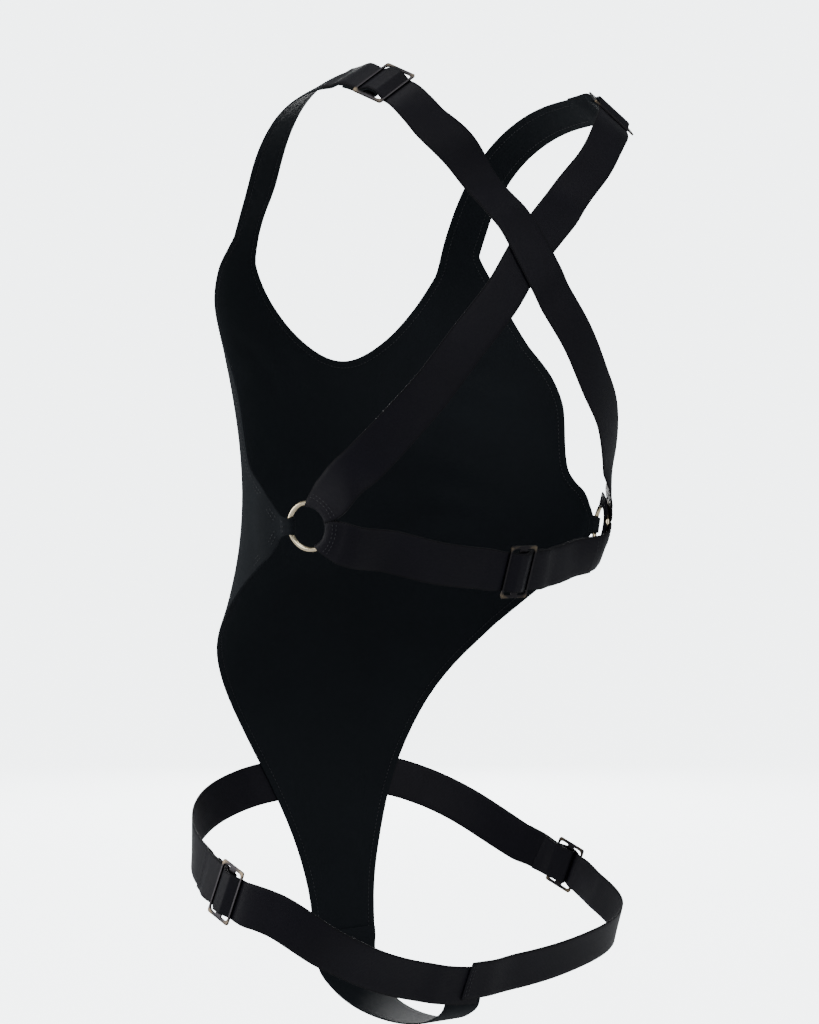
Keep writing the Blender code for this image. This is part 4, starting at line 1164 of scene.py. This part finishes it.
tab_out = unit(np.cross(ring_spot.normal, (0, 0, 1)))
tab_out = tab_out if tab_out[1] < 0 else -tab_out
tab_up = unit(np.array([0, 0, 1]) - ring_spot.normal[2] * ring_spot.normal)
table, tip_row = front_table()
share = np.linspace(0, 1, FRONT_COLUMNS + 1)
bearing = table[:, :1] + (table[:, 2:3] - table[:, :1]) * share
level = table[:, 1:2] + (table[:, 3:4] - table[:, 1:2]) * share
rest, normal = lay(front_ray(bearing, level), [ring_spot])
rest[..., 0] = np.where(bearing > 0, rest[..., 0], 0)
normal[..., 0] = np.where(bearing > 0, normal[..., 0], 0)
lift = ring_lift(np.linalg.norm(rest - ring_spot.centre, axis=-1))
print("front rows", len(table), "tab root at row", tip_row)

# %% Press in the creases
# each runs from one place to another on the flat cloth, as (round, up); then half width and depth
CREASES = (
    ((0.172, -0.322), (0.085, -0.302), 0.0085, 0.0012),
    ((0.168, -0.332), (0.070, -0.342), 0.0095, 0.0014),
    ((0.165, -0.345), (0.085, -0.385), 0.0090, 0.0012),
    ((0.155, -0.300), (0.090, -0.262), 0.0085, 0.0010),
    ((0.095, -0.352), (0.010, -0.368), 0.0110, 0.0013),
    ((0.080, -0.312), (0.015, -0.306), 0.0110, 0.0010),
    ((0.105, -0.455), (0.040, -0.430), 0.0095, 0.0012),
    ((0.072, -0.490), (0.015, -0.462), 0.0090, 0.0012),
    ((0.050, -0.562), (0.010, -0.508), 0.0080, 0.0010),
    ((0.036, -0.608), (0.006, -0.570), 0.0065, 0.0008),
    ((0.160, -0.226), (0.100, -0.204), 0.0085, 0.0010),
    ((0.130, -0.178), (0.078, -0.220), 0.0085, 0.0010),
    ((0.066, -0.186), (0.056, -0.245), 0.0090, 0.0009),
)
ROUND = 0.15
CREASE_BOW = 0.006
STRAP_LEVEL = -0.535
STRAP_CLEAR = (0.022, 0.044)
RING_CLEAR = (0.026, 0.044)
HEM_FADE = (-0.652, -0.632)
CHEST_FADE = (-0.150, -0.120)
MIDDLE_FADE = 0.012


def crease_push(along, up):
    """How far the creases move the cloth off the figure, in metres."""
    total = np.zeros_like(along)
    for (a0, u0), (a1, u1), half, depth in CREASES:
        run = np.array([a1 - a0, u1 - u0])
        length = np.hypot(*run)
        t = ((along - a0) * run[0] + (up - u0) * run[1]) / length**2
        bow = CREASE_BOW * np.sin(np.pi * np.clip(t, 0, 1))
        away = (((along - a0) * run[1] - (up - u0) * run[0]) / length - bow) / half
        fade = np.sin(np.pi * np.clip(t * 0.92 + 0.06, 0, 1)) ** 0.8
        total -= depth * fade * (np.exp(-away**2) - 0.55 * np.exp(-(np.abs(away) - 1.9) ** 2))
    return total


def off_neighbours(place):
    """One in the open cloth, zero beside the pieces that lie close on it."""
    x, z = place[..., 0], place[..., 2]
    strap = smoothstep(*STRAP_CLEAR, np.abs(z - STRAP_LEVEL)) * (x > 0.03) + (x <= 0.03)
    ring = smoothstep(*RING_CLEAR, np.linalg.norm(place - ring_spot.centre, axis=-1))
    return strap * ring * smoothstep(*HEM_FADE, z) * (1 - smoothstep(*CHEST_FADE, z))


flat_round = np.radians(bearing) * ROUND
push = crease_push(flat_round, level) * off_neighbours(rest)
push = push * smoothstep(0.0, MIDDLE_FADE, np.abs(flat_round))
front_rows = rest + normal * (lift + push)[..., None]
print("creases from", round(push.min() * 1000, 2), "to", round(push.max() * 1000, 2), "mm")

# %% Join the shoulder strap, mirror the half and fold the tab
JOIN_STEPS = (0.0, 0.011, 0.031, 0.036)
JOIN_BETWEEN = (0.016, 0.021, 0.026)
over_route = Route(list(CROSS_FROM_LEFT[-3:]) + list(OVER_SHOULDER), [], shoulder_spot)
over_at = over_route.slider_at
reach = over_route.s[np.argmax(over_route.line[:, 2] * (over_route.line[:, 1] < 0) < CHEST_END)] - over_at
s, h = np.array([(over_at + x, h) for x, h in fixed(reach)]).T
half = past_slider(over_at)(s)[:, None]
shoulder_rows = over_route.place(s[:, None], half * (2 * share - 1), h[:, None])
join = np.stack([shoulder_rows[-2], shoulder_rows[-1], front_rows[0], front_rows[1]])
join_steps = np.array(JOIN_STEPS)
eased = [hermite(join_steps, join.reshape(4, -1), np.array([at])).reshape(-1, 3) for at in JOIN_BETWEEN]
rows = np.concatenate([shoulder_rows, np.array(eased), front_rows])
gap = len(rows) - len(front_rows)
across = np.concatenate([np.repeat(flat_round[:1], gap, axis=0), flat_round])
bm, length = laid_grid(rows, across)
root_points = front_rows[tip_row:tip_row + 2 * TIP_FINE + 1, -1]
tab = [(d, h) for d, h in reversed(ring_fold(TAB_FOLD + FOLD_BEND + WEB / 2)) if d < TIP_REACH]
near = [vert for vert in bm.verts for place in root_points if (vert.co - Vector(place)).length < 1e-7]
edges = [e for e in bm.edges if e.verts[0] in near and e.verts[1] in near and e.is_boundary]
for d, h in tab:
    new = bmesh.ops.extrude_edge_only(bm, edges=edges)["geom"]
    edges = [g for g in new if isinstance(g, bmesh.types.BMEdge)]
    width = TAB_HALF + (TIP_HALF - TAB_HALF) * float(smoothstep(TAB_FLARE, TIP_REACH, d)) * (h > FIRST * 2)
    fresh = sorted({v for e in edges for v in e.verts}, key=lambda v: -(Vector(tab_up).dot(v.co)))
    for k, vert in enumerate(fresh):
        side = 1 - k / TIP_FINE
        vert.co = ring_spot.centre + tab_out * d + tab_up * width * side + ring_spot.normal * h
for face in bm.faces:
    face.smooth = True
for vert in bm.verts:
    if abs(vert.co.x) < 1e-6:
        vert.co.x = 0.0
bmesh.ops.mirror(bm, geom=bm.verts[:] + bm.edges[:] + bm.faces[:], axis="X", merge_dist=1e-6)
bmesh.ops.recalc_face_normals(bm, faces=bm.faces)
area = sum(face.calc_area() for face in bm.faces)
front = add_piece("cloth_front", bm, stretch_knit, "panel_cloth", "front_panel")
soften(front, WEB)
print("front: area", round(area, 4), "length", round(length, 3), "faces", len(front.data.polygons))

# %% [markdown]
# ## The sewing
#
# Thread holds every end: two rows across the webbing at each ring, one at each tail, a box where
# the hip straps lie on the front, two rows at the join and across each tab, and a twin line inside
# the front's edges with a single one behind it. Each stitch is a small bead of thread, drawn out
# along its row and half sunk in the cloth.

# %% One stitch, and a line of them
STITCH = 0.0024
STITCH_PITCH = 0.0033
THREAD = 0.00026
BATCH = 40
THREAD_HEIGHT = WEB / 2 + THREAD * 0.3


def stitch_line(beads, place, line):
    """Stitches along a line of (s, w) points; place turns (s, w, rise) arrays into points."""
    line = np.array(line, float)
    run = run_along(line)
    count = max(1, int(run[-1] / STITCH_PITCH))
    centres = (np.arange(count) + 0.5) * run[-1] / count
    ends = [np.stack([np.interp(centres + step, run, line[:, k]) for k in range(2)], 1)
            for step in (-STITCH / 2, STITCH / 2, 0)]
    first, last = (place(end[:, 0], end[:, 1], np.zeros(count)) for end in ends[:2])
    above = place(ends[2][:, 0], ends[2][:, 1], np.full(count, 0.001))
    middle = place(ends[2][:, 0], ends[2][:, 1], np.zeros(count))
    for a, b, c, top in zip(first, last, middle, above):
        beads.append(bead_lie(c, unit(b - a), unit(top - c), float(np.linalg.norm(b - a))))


def bead_lie(place, along, off, length=STITCH):
    """The matrix that makes a ball one bead of thread, long the way it runs."""
    side = unit(np.cross(off, along))
    off = np.cross(along, side)
    turn = Matrix([along, side, off]).transposed().to_4x4()
    shape = Matrix.Diagonal((length / 2, THREAD, THREAD * 0.9, 1))
    return Matrix.Translation(place) @ turn @ shape


def thread_piece(name, beads, slot="elastic_webbing"):
    """All the beads as one piece; a few at a time are made apart, which is much quicker."""
    few_mesh = bpy.data.meshes.new("few_stitches")
    whole = bmesh.new()
    for start in range(0, len(beads), BATCH):
        few = bmesh.new()
        for lie in beads[start:start + BATCH]:
            bmesh.ops.create_icosphere(few, subdivisions=1, radius=1.0, matrix=lie)
        few.to_mesh(few_mesh)
        few.free()
        whole.from_mesh(few_mesh)
    bpy.data.meshes.remove(few_mesh)
    for face in whole.faces:
        face.smooth = True
    add_piece(name, whole, sewing_thread, slot)
    print(name, "stitches", len(beads))


def on_route(route, height, moved=None, flip=False):
    """A place function for stitches that lie on a strap's upper face, whose middle is at a height."""
    def place(s, w, rise):
        h = np.array([float(height(value)) for value in s]) + THREAD_HEIGHT + rise
        if moved is not None:
            s, w = moved(s, w)
        points = route.place(s, w, h)
        return points * (-1, 1, 1) if flip else points
    return place


# %% Sew the ends at the rings and the tails
RING_ROWS = (0.0212, 0.0232)
TAIL_ROW = 0.0035
EDGE_IN = 0.0025


def ring_rows(beads, place, inner, outer, from_ring=None):
    """Two rows across a strap at its ring."""
    for d in RING_ROWS:
        at = d if from_ring is None else from_ring - d
        low, high = -float(outer(at)) + EDGE_IN, float(inner(d)) - EDGE_IN
        stitch_line(beads, place, [(at, low), (at, high)])


def straight_row(beads, place, at):
    """One row straight across a strap."""
    stitch_line(beads, place, [(at, EDGE_IN - WEB_HALF), (at, WEB_HALF - EDGE_IN)])


def tail_row(beads, route, tail, flip=False):
    """One row across the end of a tail."""
    place = on_route(route, lambda s: tail_height(s - route.slider_at), None, flip)
    straight_row(beads, place, route.slider_at + tail - TAIL_ROW)


beads = []
for side, far in (("left", "right"), ("right", "left")):
    route = routes[f"cross_{side}"]
    half = past_slider(route.slider_at)
    flip = side == "right"
    ring_rows(beads, on_route(route, ring_lift, round_ring, flip), mitres[far], half)
    tail_row(beads, route, SHOULDER_TAIL, flip)
    tail_row(beads, routes[f"leg_{side}"], LEG_TAIL, flip)
ring_rows(beads, on_route(back_route, ring_lift, round_ring), mitres["left"], back_half)
ring_rows(beads, on_route(back_route, lambda s: ring_lift(back_total - s), round_far_ring),
          mitres["right"], back_half, back_total)
tail_row(beads, back_route, back_tail)
thread_piece("thread_straps", beads)

# %% Sew the hip straps to the front and to each other
BOX_LENGTH = 0.020
BOX_EDGE = 0.003
JOIN_ROWS = (0.0022, 0.0046)

beads = []
for side in ("left", "right"):
    route = routes[f"leg_{side}"]
    flip = side == "right"
    far, near = route.length - BOX_EDGE, route.length - BOX_LENGTH
    w = WEB_HALF - BOX_EDGE
    on_front = on_route(route, lambda s: FIRST + LAYER, None, flip)
    box = [(near, -w), (far, -w), (far, w), (near, w), (near, -w)]
    for start, end in zip(box, box[1:]):
        stitch_line(beads, on_front, [start, end])
route = routes["leg_right"]
join_start = route.at_spine() - JOIN_OVERLAP
over_both = on_route(route, lambda s: FIRST + 2 * LAYER, aslant(join_start, True), True)
for step in JOIN_ROWS:
    straight_row(beads, over_both, join_start + step)
thread_piece("thread_hips", beads)

# %% Sew the front's hem and its tabs
HEM_ROWS = ((0.0042, 1), (0.0072, 1), (0.0057, -1))
HEM_CLEAR = 0.030
SLIDER_CLEAR = 0.042
TAB_IN = 0.0008


def edge_lines(mesh_bm, inset):
    """Points a little inside each open edge of a sheet, with the sheet's direction there, in order."""
    mesh_bm.normal_update()
    left = {e for e in mesh_bm.edges if e.is_boundary}
    lines = []
    while left:
        edge = min(left, key=lambda e: e.index)
        vert, line = edge.verts[0], []
        while edge in left:
            left.discard(edge)
            face = edge.link_faces[0]
            middle = (edge.verts[0].co + edge.verts[1].co) / 2
            run = (edge.verts[1].co - edge.verts[0].co).normalized()
            inward = face.calc_center_median() - middle
            inward = (inward - inward.dot(run) * run).normalized()
            line.append((np.array(middle + inward * inset), np.array(face.normal)))
            vert = edge.other_vert(vert)
            edge = next((e for e in vert.link_edges if e in left), edge)
        lines.append(line)
    return lines


def hem_beads(points, normals, side):
    """Stitches along one line, but none at a ring, under a slider or round a tight corner."""
    run = run_along(points)
    for at in np.arange(STITCH_PITCH, run[-1] - STITCH_PITCH, STITCH_PITCH):
        a, b, c = (np.array([np.interp(at + step, run, points[:, k]) for k in range(3)])
                   for step in (-STITCH / 2, STITCH / 2, 0))
        near_ring = min(np.linalg.norm(c - spot.centre) for spot in rings.values()) < HEM_CLEAR
        under_slider = c[1] > SHOULDER_SLIDER[1] - SLIDER_CLEAR
        if near_ring or under_slider or not 0.5 * STITCH < np.linalg.norm(b - a) < 1.5 * STITCH:
            continue
        normal = np.array([np.interp(at, run, normals[:, k]) for k in range(3)])
        off = unit(normal) * side
        yield bead_lie(c + off * THREAD_HEIGHT, unit(b - a), off)


def on_tab(side):
    """A place function for stitches on the tab of one side, 1 for the left and -1 for the right."""
    def place(s, w, rise):
        points = (ring_spot.centre + np.multiply.outer(s, tab_out) + np.multiply.outer(w, tab_up)
                  + np.multiply.outer(ring_lift(s) + THREAD_HEIGHT + rise, ring_spot.normal))
        return points * (side, 1, 1)
    return place


sheet_bm = bmesh.new()
sheet_bm.from_mesh(front.data)
on_belly = next(f for f in sheet_bm.faces if abs(f.calc_center_median().x) < 0.01
                and -0.4 < f.calc_center_median().z < -0.3)
outward = -1 if on_belly.normal.y > 0 else 1
beads = []
for inset, face_side in HEM_ROWS:
    for line in edge_lines(sheet_bm, inset):
        points, normals = (np.array(part) for part in zip(*line))
        beads.extend(hem_beads(points, normals, outward * face_side))
sheet_bm.free()
for side in (1, -1):
    for d in RING_ROWS:
        stitch_line(beads, on_tab(side), [(d, TAB_IN - TAB_HALF), (d, TAB_HALF - TAB_IN)])
thread_piece("thread_front", beads, "panel_cloth")

# %% [markdown]
# ## The strip under the wearer
#
# A narrow strip of the front's cloth runs below the wearer from the front's lower edge to the join
# of the leg straps, so it is laid as one more grid on its own middle line.

# %% Crotch strip
CROTCH = (
    (-0.0885, -0.6553, 0.0287),
    (-0.0865, -0.6660, 0.0283),
    (-0.0830, -0.6760, 0.0270),
    (-0.0680, -0.6900, 0.0240),
    (-0.0420, -0.6990, 0.0210),
    (-0.0100, -0.7020, 0.0190),
    (0.0220, -0.7000, 0.0180),
    (0.0480, -0.6940, 0.0170),
    (0.0650, -0.6840, 0.0165),
    (0.0720, -0.6720, 0.0160),
    (0.0745, -0.6600, 0.0160),
    (0.0757, -0.6500, 0.0160),
)
TUCK_HEIGHTS = (-0.6480, -0.6505, -0.6530)
TUCK_EASE = (0.0075, 0.0150)
ON_FIGURE_FADE = (-0.690, -0.670)
strip_table = np.array(CROTCH)
knots = np.arange(len(strip_table), dtype=float)
fine = np.arange(0, len(strip_table) - 0.9, 0.25)
depth, height, half_width = (hermite(knots, strip_table[:, k], fine) for k in range(3))
middle = np.stack([0 * depth, depth, height], axis=1)
share_on = smoothstep(*ON_FIGURE_FADE, height)[:, None]
middle = middle * (1 - share_on) + to_figure(middle)[0] * share_on
tucked = to_figure(np.array([[0.0, middle[0, 1], level] for level in TUCK_HEIGHTS]))[0]
middle = np.concatenate([tucked, middle])
half_width = np.concatenate([[half_width[0]] * len(tucked), half_width])
under_hem = -LAYER * (1 - smoothstep(*TUCK_EASE, middle[0, 2] - middle[:, 2])) * (middle[:, 1] < 0)
run = unit(np.gradient(middle, axis=0))
below = np.stack([0 * half_width, run[:, 2], -run[:, 1]], axis=1)
strip_share = np.linspace(-1, 1, COLUMNS + 1)
strip_across = half_width[:, None] * strip_share
strip_middle = middle + below * (FIRST + under_hem)[:, None]
strip_rows = strip_middle[:, None] + np.array([1.0, 0, 0]) * strip_across[..., None]
bm, length = laid_grid(strip_rows, strip_across)
crotch = add_piece("cloth_crotch", bm, stretch_knit, "panel_cloth", "crotch_strip")
soften(crotch, WEB)

# %% [markdown]
# ## The waist rings
#
# A ring is a round wire bent into a circle. A small circle stands beside the middle of the ring and
# a full spin sweeps it round, which closes on itself when the last step is merged with the first.

# %% Find how a rigid solid lies


def lie_of(node):
    """A solid's middle and its axes, from the longest to the shortest, as a matrix."""
    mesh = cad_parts[node].data
    points = np.array([vert.co for vert in mesh.vertices])
    points = np.unique(points.round(6), axis=0)
    axes = np.linalg.eigh(np.cov((points - points.mean(axis=0)).T))[1][:, ::-1]
    if np.linalg.det(axes) < 0:
        axes[:, 1] = -axes[:, 1]
    spread = (points - points.mean(axis=0)) @ axes
    middle = points.mean(axis=0) + axes @ ((spread.max(axis=0) + spread.min(axis=0)) / 2)
    return Matrix.Translation(middle) @ Matrix(axes).to_4x4()


def rigid_piece(name, bm, node, material, slot):
    """Puts a mesh made round the origin where its solid lies."""
    bm.transform(lie_of(node))
    bmesh.ops.recalc_face_normals(bm, faces=bm.faces)
    for face in bm.faces:
        face.smooth = True
    return add_piece(name, bm, material, slot, node)


# %% Spin the rings
WIRE_SIDES = 20
RING_STEPS = 112
beside = Matrix.Translation((RING_MIDDLE, 0, 0)) @ Matrix.Rotation(math.pi / 2, 4, "X")
for side in ("left", "right"):
    bm = bmesh.new()
    bmesh.ops.create_circle(bm, segments=WIRE_SIDES, radius=RING_WIRE, matrix=beside)
    bmesh.ops.spin(bm, geom=bm.verts[:] + bm.edges[:], cent=(0, 0, 0), axis=(0, 0, 1),
                   angle=2 * math.pi, steps=RING_STEPS, use_merge=True)
    piece = rigid_piece(f"waist_ring_{side}", bm, f"ring_{side}", pale_brass, "ring_brass")
    print(piece.name, "faces", len(piece.data.polygons))

# %% [markdown]
# ## The sliders
#
# A slider is cut from sheet metal: a rounded frame, and a wide middle bar that the webbing is sewn
# round. A grid of seven by five cells is spaced to the bars, its two windows are taken out, the
# corners are rounded, and the plate is extruded and its edges rolled over with a bevel.

# %% Cut, round and roll a slider
ALONG = (0.0125, 0.0109, 0.0031)
ACROSS = (0.0206, 0.0182, 0.0145, 0.0080)
OUTER_ROUND = 0.0042
WINDOW_ROUND = 0.0030
SLIDER_THICKNESS = 0.0014
EDGE_ROLL = 0.00055
# Where the sliders' corners are painted warm: worn plating, and also a painted highlight.
WEAR_AND_HIGHLIGHT_CORNER = (0.0190, 0.0112)
WEAR_AND_HIGHLIGHT_REACH = 0.0026


def corners_at(bm, across, along):
    """The four corners of the grid at a distance across and along."""
    return [v for v in bm.verts if max(abs(abs(v.co.x) - across), abs(abs(v.co.y) - along)) < 1e-5]


def slider_plate():
    along = [-v for v in ALONG] + list(reversed(ALONG))
    across = [-v for v in ACROSS] + list(reversed(ACROSS))
    bm = bmesh.new()
    bmesh.ops.create_grid(bm, x_segments=len(across) - 1, y_segments=len(along) - 1, size=0.5)
    for vert in bm.verts:
        i = round((vert.co.x + 0.5) * (len(across) - 1))
        j = round((vert.co.y + 0.5) * (len(along) - 1))
        vert.co = (across[i], along[j], 0)
    windows = [f for f in bm.faces if abs(f.calc_center_median().x) < ACROSS[1]
               and ALONG[2] < abs(f.calc_center_median().y) < ALONG[1]]
    bmesh.ops.delete(bm, geom=windows, context="FACES")
    outer, inner = (corners_at(bm, ACROSS[k], ALONG[k]) for k in range(2))
    for corners, reach in ((outer, OUTER_ROUND), (inner, WINDOW_ROUND)):
        bmesh.ops.bevel(bm, geom=corners, offset=reach, affect="VERTICES", segments=5, profile=0.5,
                        material=-1)
    return bm


bm = slider_plate()
print("plate faces", len(bm.faces), "open edges", sum(e.is_boundary for e in bm.edges))
bm.free()
for node in ("slider_shoulder_left", "slider_shoulder_right", "slider_back", "slider_leg_left",
             "slider_leg_right"):
    bm = slider_plate()
    bmesh.ops.solidify(bm, geom=bm.faces[:], thickness=SLIDER_THICKNESS)
    low = min(v.co.z for v in bm.verts)
    high = max(v.co.z for v in bm.verts)
    bmesh.ops.translate(bm, verts=bm.verts, vec=(0, 0, -(low + high) / 2))
    rims = [e for e in bm.edges if e.calc_face_angle(0) > math.radians(60)]
    bmesh.ops.bevel(bm, geom=rims, offset=EDGE_ROLL, affect="EDGES", segments=3, profile=0.5,
                    material=-1, clamp_overlap=True)
    piece = rigid_piece(f"metal_{node}", bm, node, black_plate, "slider_metal")
    # Marks the corners for the warm colour: worn plating, and a painted highlight.
    wear_and_highlight = piece.data.attributes.new("wear_and_highlight", "FLOAT", "POINT")
    place_back = lie_of(node).inverted()
    for vert, value in zip(piece.data.vertices, wear_and_highlight.data):
        local = place_back @ vert.co
        corner = math.hypot(abs(local.x) - WEAR_AND_HIGHLIGHT_CORNER[0], abs(local.y) - WEAR_AND_HIGHLIGHT_CORNER[1])
        value.value = max(0.0, 1 - corner / WEAR_AND_HIGHLIGHT_REACH)
    print(piece.name, "faces", len(piece.data.polygons))
